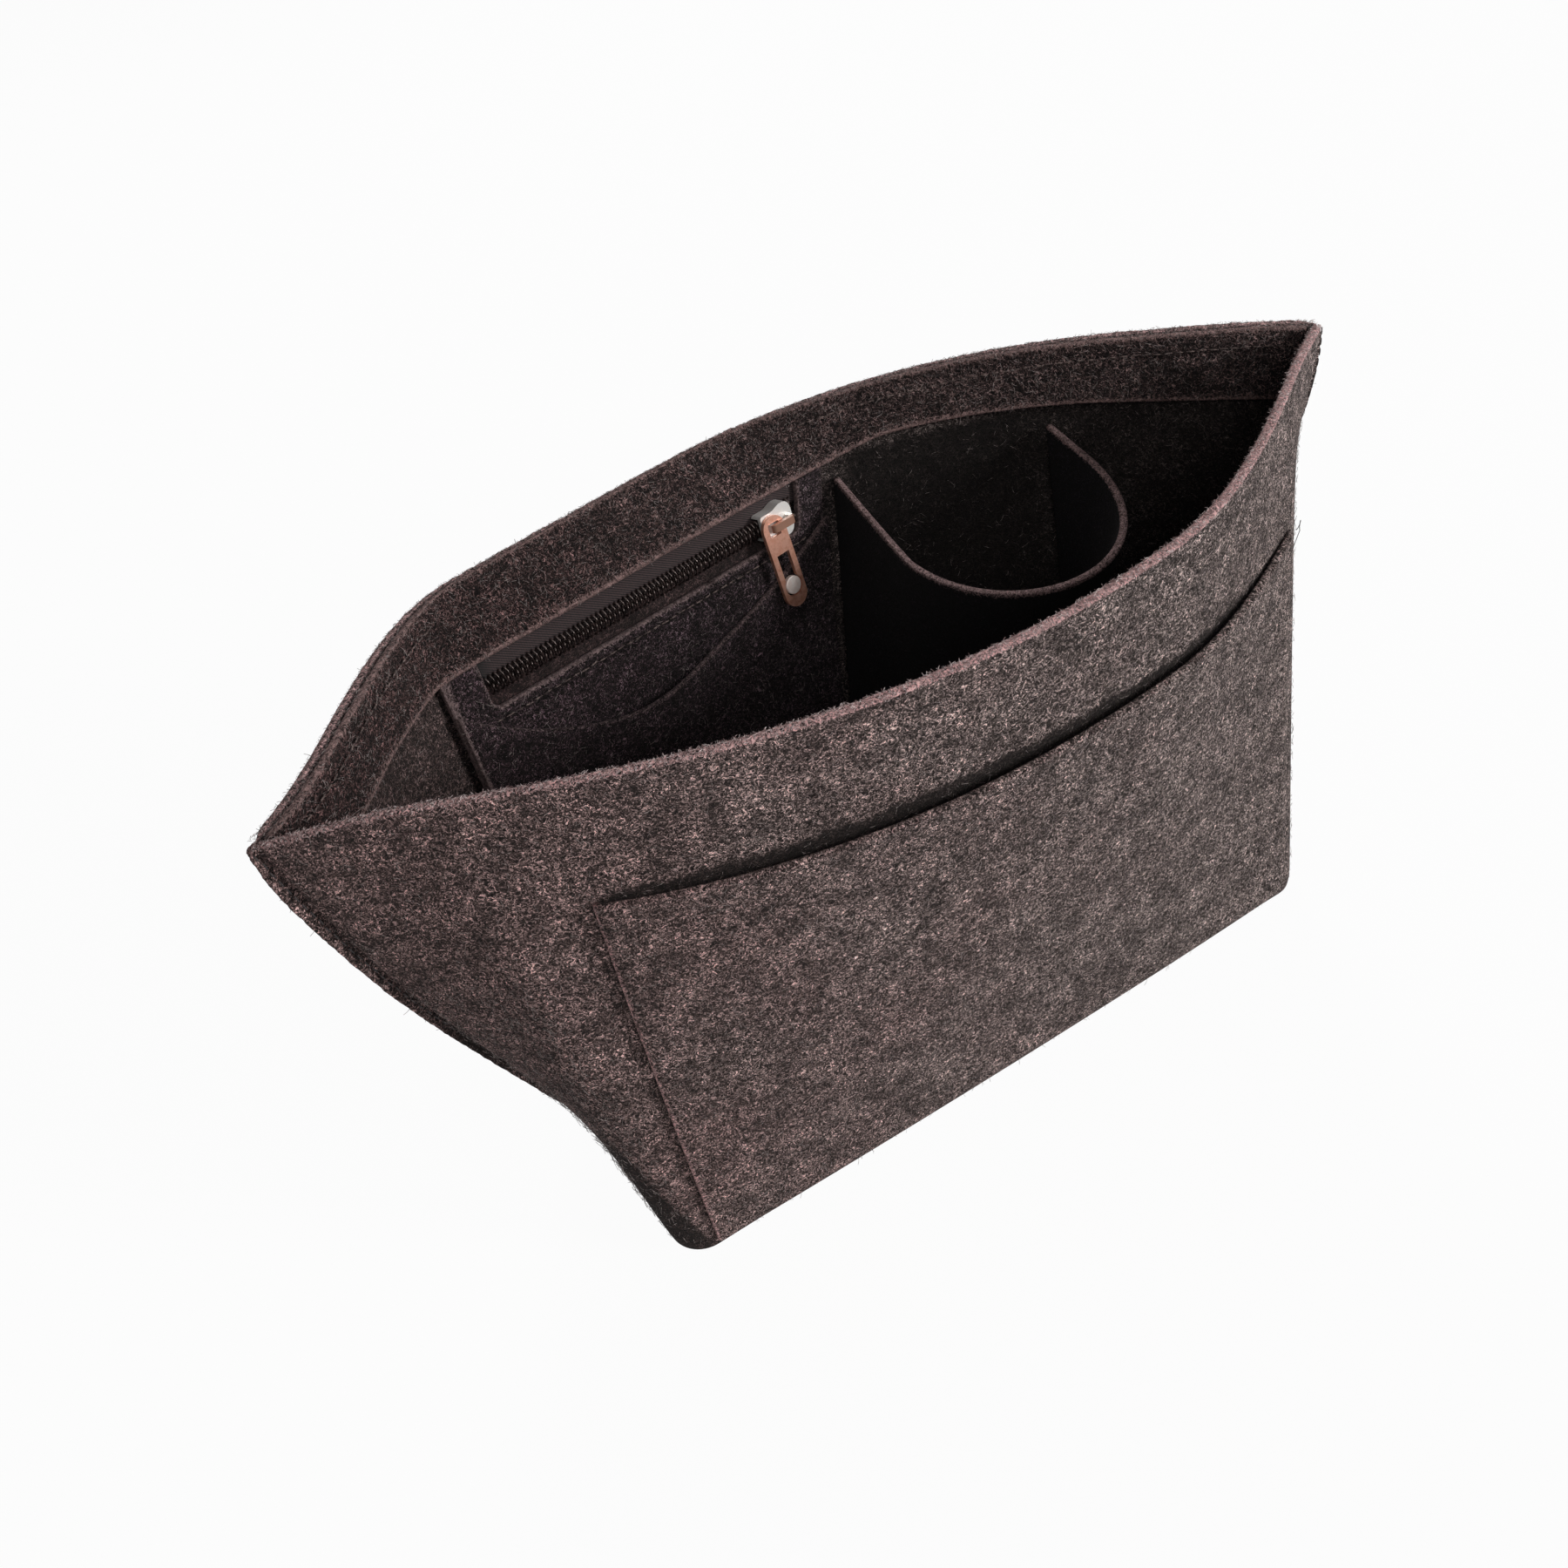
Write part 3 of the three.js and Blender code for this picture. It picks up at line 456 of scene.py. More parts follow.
def mesh_piece(name, points, faces, material, **attributes):
    """Smooth mesh from points in millimetres, with a value or a vector for every point."""
    mesh = bpy.data.meshes.new(name)
    mesh.from_pydata((np.asarray(points) * MM).tolist(), [], [tuple(int(i) for i in f) for f in faces])
    mesh.validate()
    for label, values in attributes.items():
        point_values(mesh, label, values)
    mesh.materials.append(material)
    piece = placed(name, mesh)
    turn_outwards(mesh)
    mesh.shade_smooth()
    return piece


EDGE_STEPS = (0.12, 0.32, 0.5, 0.68, 0.88)
EDGE_ROUND = 0.16
EDGE_FULLNESS = 0.7
RAW_FADE = 0.55
FACES = {}


def felt_shell(name, near, normals, thickness, material, mask=None, raw=(0, 1, 0, 0), raw_hole=0.0,
               fluff=0.0, pinch=0.0, fade=RAW_FADE, tone=0.0, outer_tone=None):
    """Closed piece of felt from a grid of its near face: the far face lies thickness along the normals.
    raw says how light the cut edges are: at the low row, high row, first and last column. pinch is the
    share of the thickness that a row of stitches pulls in. tone makes both faces paler, or darker below
    zero, and outer_tone is the far face's own. Each point carries lay, its place in the cloth, and raw, how
    pale it is."""
    # Below zero, tone and the raw value that each point carries are painted shade, which darkens the felt
    columns, rows = near.shape[:2]
    if mask is None:
        mask = np.ones((columns - 1, rows - 1), bool)
    far = near + normals * (thickness * (1 - np.broadcast_to(pinch, near.shape[:2])))[..., None]
    FACES[name] = (near, far, normals, mask)
    u = lengths(near, 0)
    u = u - u[columns // 2][None, :]
    v = lengths(near, 1)
    light = cut_light(near, raw, fade)
    outer_light = light + (tone if outer_tone is None else outer_tone)
    light = light + tone

    used = cells_at_points(mask) > 0
    count = int(used.sum())
    ids = -np.ones((columns, rows), int)
    ids[used] = np.arange(count)
    points = [near[used], far[used]]
    lay = [np.stack([u[used], v[used], np.full(count, depth)], -1) for depth in (0, thickness)]
    pale = [light[used], outer_light[used]]

    sides = open_sides(mask)
    border = sorted({point for side in sides for point in side})
    out = np.array([way_out_of(point, near, normals, mask) for point in border])
    c, r = np.array(border).T
    on_outline = (c == 0) | (c == columns - 1) | (r == 0) | (r == rows - 1)
    rng = np.random.default_rng(len(name) * 31 + columns)
    for t in EDGE_STEPS:
        swell = EDGE_ROUND * thickness * (4 * t * (1 - t)) ** EDGE_FULLNESS
        bulge = swell + fluff * rng.normal(size=len(border))
        points.append(near[c, r] * (1 - t) + far[c, r] * t + out * bulge[:, None])
        lay.append(np.stack([u[c, r], v[c, r] + bulge, np.full(len(border), thickness * t)], -1))
        pale.append(np.where(on_outline, light[c, r], raw_hole))
    faces = shell_faces(mask, ids, sides, border)
    return mesh_piece(name, np.concatenate(points), faces, material, lay=np.concatenate(lay),
                      raw=np.concatenate(pale))


def shell_faces(mask, ids, sides, border):
    """Faces of the two sides of a felt piece and of its rounded cut edge."""
    count = ids.max() + 1
    faces = []
    for c, r in zip(*np.nonzero(mask)):
        a, b, d, e = ids[c, r], ids[c + 1, r], ids[c + 1, r + 1], ids[c, r + 1]
        faces.append((e, d, b, a))
        faces.append((a + count, b + count, d + count, e + count))
    steps = range(len(EDGE_STEPS))
    chains = {}
    for i, point in enumerate(border):
        over_edge = [2 * count + k * len(border) + i for k in steps]
        chains[point] = [ids[point], *over_edge, ids[point] + count]
    for a, b in sides:
        left, right = chains[a], chains[b]
        for k in range(len(left) - 1):
            faces.append((left[k], right[k], right[k + 1], left[k + 1]))
    return faces


# Nodes

def new_node(tree, kind, links=None, **values):
    """New node. links holds a socket or a value for its inputs."""
    node = tree.nodes.new(kind)
    for key, value in values.items():
        setattr(node, key, value)
    for socket, value in (links or {}).items():
        spot = node.inputs[socket]
        if isinstance(value, bpy.types.NodeSocket):
            tree.links.new(value, spot)
        else:
            spot.default_value = value
    return node


def math_node(tree, operation, a, b=0.0):
    return new_node(tree, "ShaderNodeMath", {0: a, 1: b}, operation=operation).outputs[0]


def add(tree, a, b):
    return math_node(tree, "ADD", a, b)


def times(tree, a, b):
    return math_node(tree, "MULTIPLY", a, b)


def larger(tree, a, b):
    return math_node(tree, "MAXIMUM", a, b)


def vector_math(tree, operation, a, b):
    return new_node(tree, "ShaderNodeVectorMath", {0: a, 1: b}, operation=operation).outputs[0]


def map_range(tree, value, low, high, start=0.0, end=1.0):
    links = {"Value": value, "From Min": low, "From Max": high, "To Min": start, "To Max": end}
    return new_node(tree, "ShaderNodeMapRange", links, interpolation_type="SMOOTHSTEP").outputs["Result"]


def noise_at(tree, vector, scale, detail, roughness=0.5, output="Fac"):
    links = {"Vector": vector, "Scale": scale, "Detail": detail, "Roughness": roughness}
    return new_node(tree, "ShaderNodeTexNoise", links).outputs[output]


def turned(tree, lay, angle):
    links = {"Vector": lay, "Angle": angle}
    return new_node(tree, "ShaderNodeVectorRotate", links, rotation_type="Z_AXIS").outputs[0]


def blend_colours(tree, amount, a, b, kind="MIX"):
    links = {0: amount, 6: a, 7: b}
    return new_node(tree, "ShaderNodeMix", links, data_type="RGBA", blend_type=kind).outputs[2]


def shaded(tree, colour, light):
    """A colour made lighter or darker by a number."""
    grey = new_node(tree, "ShaderNodeCombineColor", {0: light, 1: light, 2: light}).outputs[0]
    return blend_colours(tree, 1.0, colour, grey, "MULTIPLY")


def object_place(tree):
    return tree.nodes.new("ShaderNodeTexCoord").outputs["Object"]


def distance_along(tree, way):
    """How far a point lies along a direction, in metres from the part's origin."""
    links = {0: object_place(tree), 1: tuple(way)}
    return new_node(tree, "ShaderNodeVectorMath", links, operation="DOT_PRODUCT").outputs["Value"]


def stored(tree, label, output):
    return new_node(tree, "ShaderNodeAttribute", attribute_name=label).outputs[output]


# Materials

def linear(red, green, blue):
    """Scene colour from the tone that the eye sees, 0 to 255."""
    tone = [c / 255 for c in (red, green, blue)]
    return (*[c / 12.92 if c < 0.04045 else ((c + 0.055) / 1.055) ** 2.4 for c in tone], 1)


def shader_of(material):
    return material.node_tree.nodes["Principled BSDF"]


def simple(name, colour, roughness, metallic=0.0, others=None):
    """Plain material. others holds more values, by the names of the shader's sockets."""
    material = bpy.data.materials.new(name)
    material.use_nodes = True
    values = {"Base Color": linear(*colour), "Roughness": roughness, "Metallic": metallic, **(others or {})}
    for label, value in values.items():
        shader_of(material).inputs[label].default_value = value
    return material


def feed(material, label, socket):
    material.node_tree.links.new(socket, shader_of(material).inputs[label])


def raise_surface(material, height, strength, distance):
    """Bump from a height that changes over the surface. distance is in millimetres."""
    links = {"Height": height, "Strength": strength, "Distance": distance * MM}
    feed(material, "Normal", new_node(material.node_tree, "ShaderNodeBump", links).outputs["Normal"])


# Noise in the felt: scale to the millimetre, detail and roughness
CURL_NOISE = (0.55, 2.0)
FIBRE_NOISE = (1.0, 1.5, 0.6)
GRAIN_NOISE = (1.45, 4.0, 0.72)
SPECKLE_NOISE = (1.5, 3.0, 0.7)
CLOUD_NOISE = (0.16, 4.0, 0.75)
PATCH_NOISE = (0.03, 2.0)

# Fibres: the four directions that noise is drawn out along, and how it is bent
FIBRE_TURNS = (0.2, 0.95, 1.7, 2.5)
FIBRE_STRETCH = (0.62, 3.1, 3.1)
LAYER_SHIFT = (17.3, 5.1, 2.7)
CURL = 4.5

# Noise values between which each thing comes in, with the values that it gives there
PALE_FIBRES = (0.525, 0.58)
DARK_FIBRES = (0.48, 0.57)
PITS = (0.53, 0.41)
LUMPS = (0.46, 0.6, 0.06, 1.0)
CLOUDS = (0.34, 0.66, 0.5, 1.5)
SPECKS = (0.41, 0.59, 0.4, 1.62)
DEEP_SHADE = (-1.0, 0.0, 0.1, 1.0)
# Felt colour at the left and the right: redder at the left, and darker there as painted shade
LEFT_CAST_AND_SHADE = (0.94, 0.79, 0.79, 1)
RIGHT_CAST = (0.98, 1.0, 0.985, 1)
CAST_SPAN = (-60.0, 140.0)
CAST_WANDER = 160.0
EDGE_RAGGEDNESS = 2.6
EDGE_SPOTS = (0.3, 0.85)
EDGE_FROM = (0.02, 0.2)
EDGE_GLINT = (0.42, 0.58, 0.6, 1.35)
NEAR_SHADE_DEPTHS = (0.1, 0.5)

# Strengths
DARK_DEPTH = 0.95
EDGE_PITS = 0.65
GRAIN_HEIGHT = 1.6
BUMP_DEPTH = 0.45


def bent_lay(tree, lay):
    """Cloth coordinates pushed about, so that the fibres drawn along them curl."""
    warp = noise_at(tree, lay, *CURL_NOISE, output="Color")
    shift = vector_math(tree, "SUBTRACT", warp, (0.5, 0.5, 0.5))
    far = new_node(tree, "ShaderNodeVectorMath", {0: shift, "Scale": CURL}, operation="SCALE")
    return vector_math(tree, "ADD", lay, far.outputs[0])


def fibre_layer(tree, lay, turn, number):
    """Noise drawn out along one direction of the cloth."""
    drawn = vector_math(tree, "MULTIPLY", turned(tree, lay, turn), FIBRE_STRETCH)
    moved = vector_math(tree, "ADD", drawn, tuple(shift * number for shift in LAYER_SHIFT))
    return noise_at(tree, moved, *FIBRE_NOISE)


def pale_fibres(tree, layers, sparse):
    """Where a pale fibre of any layer shows."""
    thinned = [math_node(tree, "SUBTRACT", layer, sparse) for layer in layers]
    pales = [map_range(tree, layer, *PALE_FIBRES) for layer in thinned]
    return larger(tree, larger(tree, pales[0], pales[1]), pales[2])


def felt_shade(tree, lay, speckle, raw):
    """Lightness of the felt: soft clouds, fine specks, and deep shade where raw is below zero."""
    clouds = map_range(tree, noise_at(tree, lay, *CLOUD_NOISE), *CLOUDS)
    specks = map_range(tree, speckle, *SPECKS)
    return times(tree, times(tree, clouds, specks), map_range(tree, raw, *DEEP_SHADE))


def felt_cast_and_shade(tree, lay):
    """Cast of the felt, redder towards the left and darker there as painted shade, in large uneven patches.
    """
    across = new_node(tree, "ShaderNodeSeparateXYZ", {0: lay}).outputs[0]
    patches = times(tree, noise_at(tree, lay, *PATCH_NOISE), CAST_WANDER)
    hue = map_range(tree, add(tree, across, patches), *CAST_SPAN)
    return blend_colours(tree, hue, LEFT_CAST_AND_SHADE, RIGHT_CAST)


def cut_edge(tree, cloth, speckle, pits):
    """How far the pale cut edge covers the face, in ragged spots, and its colour."""
    ragged = times(tree, math_node(tree, "SUBTRACT", speckle, 0.5), EDGE_RAGGEDNESS)
    spots = map_range(tree, add(tree, cloth["Raw"], ragged), *EDGE_SPOTS)
    cover = times(tree, spots, map_range(tree, cloth["Raw"], *EDGE_FROM))
    colour = blend_colours(tree, times(tree, pits, EDGE_PITS), cloth["Raw Colour"], cloth["Base"])
    return cover, shaded(tree, colour, map_range(tree, speckle, *EDGE_GLINT))


def group_sockets(tree, way, sockets):
    for label, kind in sockets:
        tree.interface.new_socket(label, in_out=way, socket_type="NodeSocket" + kind)


def fibre_group():
    """Melange of long pale and dark fibres in the cloth's own coordinates, in millimetres."""
    tree = bpy.data.node_groups.new("felt_fibres", "ShaderNodeTree")
    tones = [(label, "Color") for label in ("Base", "Pale", "Deep", "Raw Colour")]
    group_sockets(tree, "INPUT", [("Lay", "Vector"), *tones, ("Raw", "Float"), ("Sparse", "Float")])
    group_sockets(tree, "OUTPUT", [("Colour", "Color"), ("Height", "Float")])
    cloth = tree.nodes.new("NodeGroupInput").outputs
    bent = bent_lay(tree, cloth["Lay"])
    layers = [fibre_layer(tree, bent, turn, i) for i, turn in enumerate(FIBRE_TURNS)]
    grain = noise_at(tree, bent, *GRAIN_NOISE)
    speckle = noise_at(tree, bent, *SPECKLE_NOISE)
    pits = map_range(tree, grain, *PITS)
    pale = pale_fibres(tree, layers[:3], cloth["Sparse"])
    dark = times(tree, larger(tree, map_range(tree, layers[3], *DARK_FIBRES), pits), DARK_DEPTH)
    ground = blend_colours(tree, dark, cloth["Base"], cloth["Deep"])
    lumps = map_range(tree, grain, *LUMPS)
    coat = blend_colours(tree, times(tree, pale, lumps), ground, cloth["Pale"])
    # Painted shade where raw is below zero
    coat = shaded(tree, coat, felt_shade(tree, cloth["Lay"], speckle, cloth["Raw"]))
    coat = blend_colours(tree, 1.0, coat, felt_cast_and_shade(tree, cloth["Lay"]), "MULTIPLY")
    cover, cut = cut_edge(tree, cloth, speckle, pits)
    end = tree.nodes.new("NodeGroupOutput")
    tree.links.new(blend_colours(tree, cover, coat, cut), end.inputs["Colour"])
    tree.links.new(add(tree, pale, times(tree, grain, GRAIN_HEIGHT)), end.inputs["Height"])
    return tree


fibres = fibre_group()


def felt(name, base, pale, deep, raw, bump, sheen, painted_near_light=1.0, sparse=0.0):
    """Felt in four tones, the last that of its cut edge. The near-face factor is how light the near face is
    painted next to its far face, as painted shade. sparse thins out the pale fibres."""
    others = {"Specular IOR Level": 0.15, "Sheen Weight": sheen, "Sheen Roughness": 0.5,
              "Sheen Tint": linear(200, 185, 180)}
    material = simple(name, base, 0.95, others=others)
    tree = material.node_tree
    lay = stored(tree, "lay", "Vector")
    group = tree.nodes.new("ShaderNodeGroup")
    group.node_tree = fibres
    tree.links.new(lay, group.inputs["Lay"])
    tree.links.new(stored(tree, "raw", "Fac"), group.inputs["Raw"])
    for label, colour in (("Base", base), ("Pale", pale), ("Deep", deep), ("Raw Colour", raw)):
        group.inputs[label].default_value = linear(*colour)
    group.inputs["Sparse"].default_value = sparse
    # Painted shade: the near face is darkened by the near-face factor
    depth = new_node(tree, "ShaderNodeSeparateXYZ", {0: lay}).outputs[2]
    side = map_range(tree, depth, *NEAR_SHADE_DEPTHS, painted_near_light, 1.0)
    feed(material, "Base Color", shaded(tree, group.outputs["Colour"], side))
    raise_surface(material, group.outputs["Height"], bump, BUMP_DEPTH)
    return material


# The walls' inner faces carry painted shade, at 0.4 of the outer faces' light
wall_felt = felt("felt_walls", (28, 20, 20), (224, 200, 195), (3, 2, 2), (236, 190, 188),
                 bump=0.9, sheen=0.13, painted_near_light=0.4)
facing_cloth = felt("felt_facing", (15, 10, 11), (168, 138, 135), (3, 1, 2), (164, 134, 130),
                    bump=0.9, sheen=0.08, sparse=0.035)
# Felt inside the bag: partly its own darker, bluer tone, partly painted shade of the bag's inside
pocket_felt = felt("felt_pockets", (11, 8, 10), (146, 122, 131), (2, 1, 2), (150, 128, 127),
                   bump=0.9, sheen=0.1, sparse=0.035)
# Painted shade: the pocket felt made far darker for the shade inside the bottle pocket; its cut edge stays
# pale
shaded_bottle_felt = felt("felt_bottle_shaded", (4, 3, 5), (40, 34, 40), (1, 1, 1), (196, 164, 162),
                    bump=0.9, sheen=0.02, painted_near_light=0.5)
lip_felt = felt("felt_lip", (34, 25, 26), (82, 66, 65), (14, 10, 11), (150, 122, 112),
                bump=0.5, sheen=0.25)


# Walls

HALF_WALL_COLUMNS = ((0, 0.72, 80), (0.72, 0.97, 44), (0.97, 1.0, 8))
WALL_ROWS = ((0, 2, 3), (2, 34, 22), (34, 140, 116), (140, 145, 6), (145, 146, 3))
CREASE_ROWS = (5, 24)
SEAM_PINCH = 0.85
SEAM_GROOVE = 1.7
SEAM_PINCH_HEIGHTS = (4, 30)
TOPSTITCH_PINCH = (0.25, 0.7)

# Deep shade in the walls' felt: how strong it is, and the shares, heights or gaps where it comes and goes
MOUTH_SHADE = 0.95
MOUTH_SHADE_LOSS = 0.3
MOUTH_THINS = (0.4, 0.7)
MOUTH_ENDS = (0.012, 0.03)
MOUTH_FROM = (60, 70)
SEAM_SHADE = 0.75
SEAM_SHADE_OFF = 0.8
SEAM_SHADE_MIDDLE = 96
SEAM_SHADE_SPAN = 26
FIN_SHADE = 0.95
FIN_SHADE_EDGE = (0.8, 1.8)
FIN_SHADE_MIDDLE = 70
FIN_SHADE_SPAN = 15
END_FACE_BORDER = -0.731
END_FACE_LEAN = 0.00136
END_FACE_TOP = (36, 47)
RIM_SHADE = 0.5
RIM_SHADE_FADES = (-0.9, 0.6)
RIM_SHADE_DEPTH = 0.6
HOLLOW_SHADE = (0.88, 0.6)
HOLLOW_FADES = (0.5, 0.62)


def pocket_top(across):
    """Height of the outer pocket's mouth, lower at the right."""
    return mix(POCKET_TOP[0], POCKET_TOP[1], ease(across, POCKET_DIPS_FROM, 1))


def mouth_shade(share, height):
    """Shade in the outer pocket's mouth, its upper border ragged, thinner and paler at the right."""
    left, right = POCKET_LEFT[1], POCKET_RIGHT[1]
    thin = ease(share, *MOUTH_THINS)
    ragged = 0.35 * np.sin(share * 171) + 0.3 * np.sin(share * 67 + 1) - 0.3 * np.sin(share * 293 + height)
    brim = pocket_top((share - left) / (right - left)) + ragged
    mouth = ease(share, left, left + MOUTH_ENDS[0]) * (1 - ease(share, right - MOUTH_ENDS[1], right))
    above = ease(height, brim + 0.2 - 0.5 * thin, brim + 2.0 - 1.2 * thin)
    return (MOUTH_SHADE - MOUTH_SHADE_LOSS * thin) * (mouth * ease(height, *MOUTH_FROM) * (1 - above))


def fin_shade(past_seam, height):
    """Shade beside the left seam, and on the fin's own face lower down."""
    beside = channel(past_seam - SEAM_SHADE_OFF, 1, 1.0)
    beside = beside * channel(height - SEAM_SHADE_MIDDLE, 1, SEAM_SHADE_SPAN)
    on_fin = 1 - ease(past_seam, *FIN_SHADE_EDGE)
    on_fin = on_fin * channel(height - FIN_SHADE_MIDDLE, 1, FIN_SHADE_SPAN)
    return np.maximum(SEAM_SHADE * beside, FIN_SHADE * on_fin)


def end_face_shade(share, height):
    """Shade on the left end face, up to where the wing begins."""
    border = END_FACE_BORDER - END_FACE_LEAN * height
    return ease(border - share, 0, 0.01) * (1 - ease(height, *END_FACE_TOP))


def rim_shade(share, height):
    """Shade along the top of the front wall's rim, fading to the right."""
    on_top = ease(height, WALL_HEIGHT - RIM_SHADE_DEPTH, WALL_HEIGHT)
    return RIM_SHADE * ((1 - ease(share, *RIM_SHADE_FADES)) * on_top)


def shade_on_wall(shares, heights, run):
    """Where the outside of the front wall lies in deep shade, which the felt shows as a tone below zero."""
    share, height = shares[:, None], heights[None, :]
    shade = mouth_shade(share, height) + fin_shade(run - run[FIN_COLUMNS], height)
    return -(shade + end_face_shade(share, height) + rim_shade(share, height))


def shade_in_back(shares, heights):
    """Where the inside of the back wall lies in deep shade: under the facing, right of the zip block."""
    share, height = shares[:, None], heights[None, :]
    under = ease(share, BOTTLE_TOP[0] - 0.02, BOTTLE_TOP[0] + 0.05) * (1 - ease(share, 0.93, 1.0))
    below = 1 - ease(height, FACING_FOOT - 1.5, FACING_FOOT + 1)
    return -under * below * mix(*HOLLOW_SHADE, ease(share, *HOLLOW_FADES))


def fin_width(height, end):
    trim = FIN_TRIM * ease(height, *FIN_TRIM_HEIGHTS)
    return mix(FELT + FIN_STUB, FIN_WIDTH[end], ease(height, FIN_START, FIN_FULL)) - trim


def add_fins(grid, heights, side):
    """Carries a wall on past both seams as a fin, its tip drooping at the rim."""
    steps = np.linspace(0, 1, FIN_COLUMNS + 1)[1:]
    at_rim = ease(heights, WALL_HEIGHT - FIN_DROOP_HEIGHT, WALL_HEIGHT)
    for end in (-1, 1):
        edge = wall(np.full(len(steps), float(end))[:, None], heights[None, :], side)
        edge[..., 0] += end * steps[:, None] * fin_width(heights, end)[None, :]
        edge[..., 2] -= FIN_DROOP * steps[:, None]**2 * at_rim[None, :]
        grid = np.concatenate([grid, edge] if end > 0 else [edge[::-1], grid])
    return grid


def wall_groove(run, heights, side):
    """Where stitches pull a wall in: along both side seams and, at the back, under the rim."""
    from_seams = (run - run[FIN_COLUMNS], run - run[-1 - FIN_COLUMNS])
    groove = sum(channel(gap, SEAM_PINCH, SEAM_GROOVE) for gap in from_seams)
    topstitch = channel(heights - WALL_HEIGHT + STITCH_UNDER_RIM, *TOPSTITCH_PINCH)
    return groove * ease(heights, *SEAM_PINCH_HEIGHTS) + (side == BACK) * topstitch


def wall_piece(name, side, node):
    half = spaced(*HALF_WALL_COLUMNS)
    shares = np.concatenate([-half[:0:-1], half])
    heights = spaced(*WALL_ROWS)
    grid = add_fins(wall(shares[:, None], heights[None, :], side), heights, side)
    grid = smooth_rows(grid, *CREASE_ROWS, 3)
    grid = round_bends(grid, (FIN_COLUMNS, len(grid) - 1 - FIN_COLUMNS), 4)
    normals = grid_normals(grid, -side)
    normals[:, 0, 2] = 0
    run = lengths(grid, 0)
    on_fins = np.ones(FIN_COLUMNS)
    shares = np.concatenate([-on_fins, shares, on_fins])
    if side == FRONT:
        rim_light, tone, outer_tone = 1.0, np.maximum(shade_on_wall(shares, heights, run), -1), None
    else:
        rim_light, tone, outer_tone = 0.6, shade_in_back(shares, heights), 0.0
    piece = felt_shell(name, grid, unit(normals), FELT, wall_felt, raw=(0.1, rim_light, 0.3, 0.3),
                       fluff=0.09, pinch=wall_groove(run, heights, side), fade=0.3, tone=tone,
                       outer_tone=outer_tone)
    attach(piece, "bag")
    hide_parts(node)
    return piece


front_wall = wall_piece("front_wall_felt", FRONT, "front_panel")
back_wall = wall_piece("back_wall_felt", BACK, "back_panel")


# Base and facing

BASE_TUCK = 0.15
FACING_DIP = [(-1, 0, 0), (0.2, 0, 0), (0.34, 2.6, 0), (0.6, 0.9, -9), (0.85, -1.6, -3), (1, -1.8, 0)]
FACING_ROWS = ((0, 0.06, 3), (0.06, 0.94, 14), (0.94, 1, 3))


def base_piece():
    """The base panel, its rim sewn into the walls so that no light comes through."""
    half_length = INNER_LENGTH + BASE_TUCK
    half_depth = INNER_DEPTH + BASE_TUCK
    corner = INNER_CORNER + BASE_TUCK
    y = np.concatenate([-half_depth + corner * (1 - np.cos(np.linspace(0, math.pi / 2, 8))),
                        np.linspace(-half_depth + corner, half_depth - corner, 24)[1:-1],
                        half_depth - corner * (1 - np.cos(np.linspace(math.pi / 2, 0, 8)))])
    past = np.maximum(np.abs(y) - (half_depth - corner), 0)
    width = half_length - corner + np.sqrt(np.maximum(corner**2 - past**2, 0))
    x = np.linspace(-1, 1, 90)
    grid = stack(x[:, None] * width[None, :], y[None, :], 0.0)
    normals = np.broadcast_to(np.array([0, 0, 1.0]), grid.shape)
    piece = felt_shell("base_felt", grid, normals, FELT, pocket_felt, raw=(0.2, 0.2, 0.2, 0.2))
    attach(piece, "bag")
    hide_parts("base_panel")
    return piece


def facing_piece():
    """Band inside the back of the mouth, flat where it crosses the zip block."""
    shares = np.linspace(-FACING_END, FACING_END, 260)
    rises = spaced(*FACING_ROWS)
    low, high = block_share(BLOCK_LEFT, FACING_FOOT), block_share(BLOCK_RIGHT, FACING_FOOT)
    across = (shares - low) / (high - low)
    inside = (across > 0) & (across < 1)
    dip = through_knots(shares, FACING_DIP)[:, None]
    heights = mix(FACING_FOOT + dip, WALL_HEIGHT, rises[None, :])
    grid = inside_wall(shares[:, None], heights, BACK, FACING_SEAT)
    foot = on_block(across, FACING_FOOT, PANEL_STANDOFF + FACING_OFF_TAPE)[:, None]
    chord = foot + (grid[:, -1:] - foot) * rises[None, :, None]
    grid[inside] = chord[inside]
    grid = round_bends(grid, (np.argmin(np.abs(across)), np.argmin(np.abs(across - 1))), 6)
    topstitch = channel(lengths(grid, 1) - FACING_HEIGHT + STITCH_UNDER_RIM, 0.4, 0.8)
    piece = felt_shell("facing_felt", grid, grid_normals(grid, 1), POCKET_FELT, facing_cloth,
                       raw=(1.5, 0.8, 0, 0), fade=0.8, fluff=0.06, pinch=topstitch)
    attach(piece, "bag")
    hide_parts("rim_facing")
    return piece


base_felt = base_piece()
facing_felt = facing_piece()


# Outer pocket

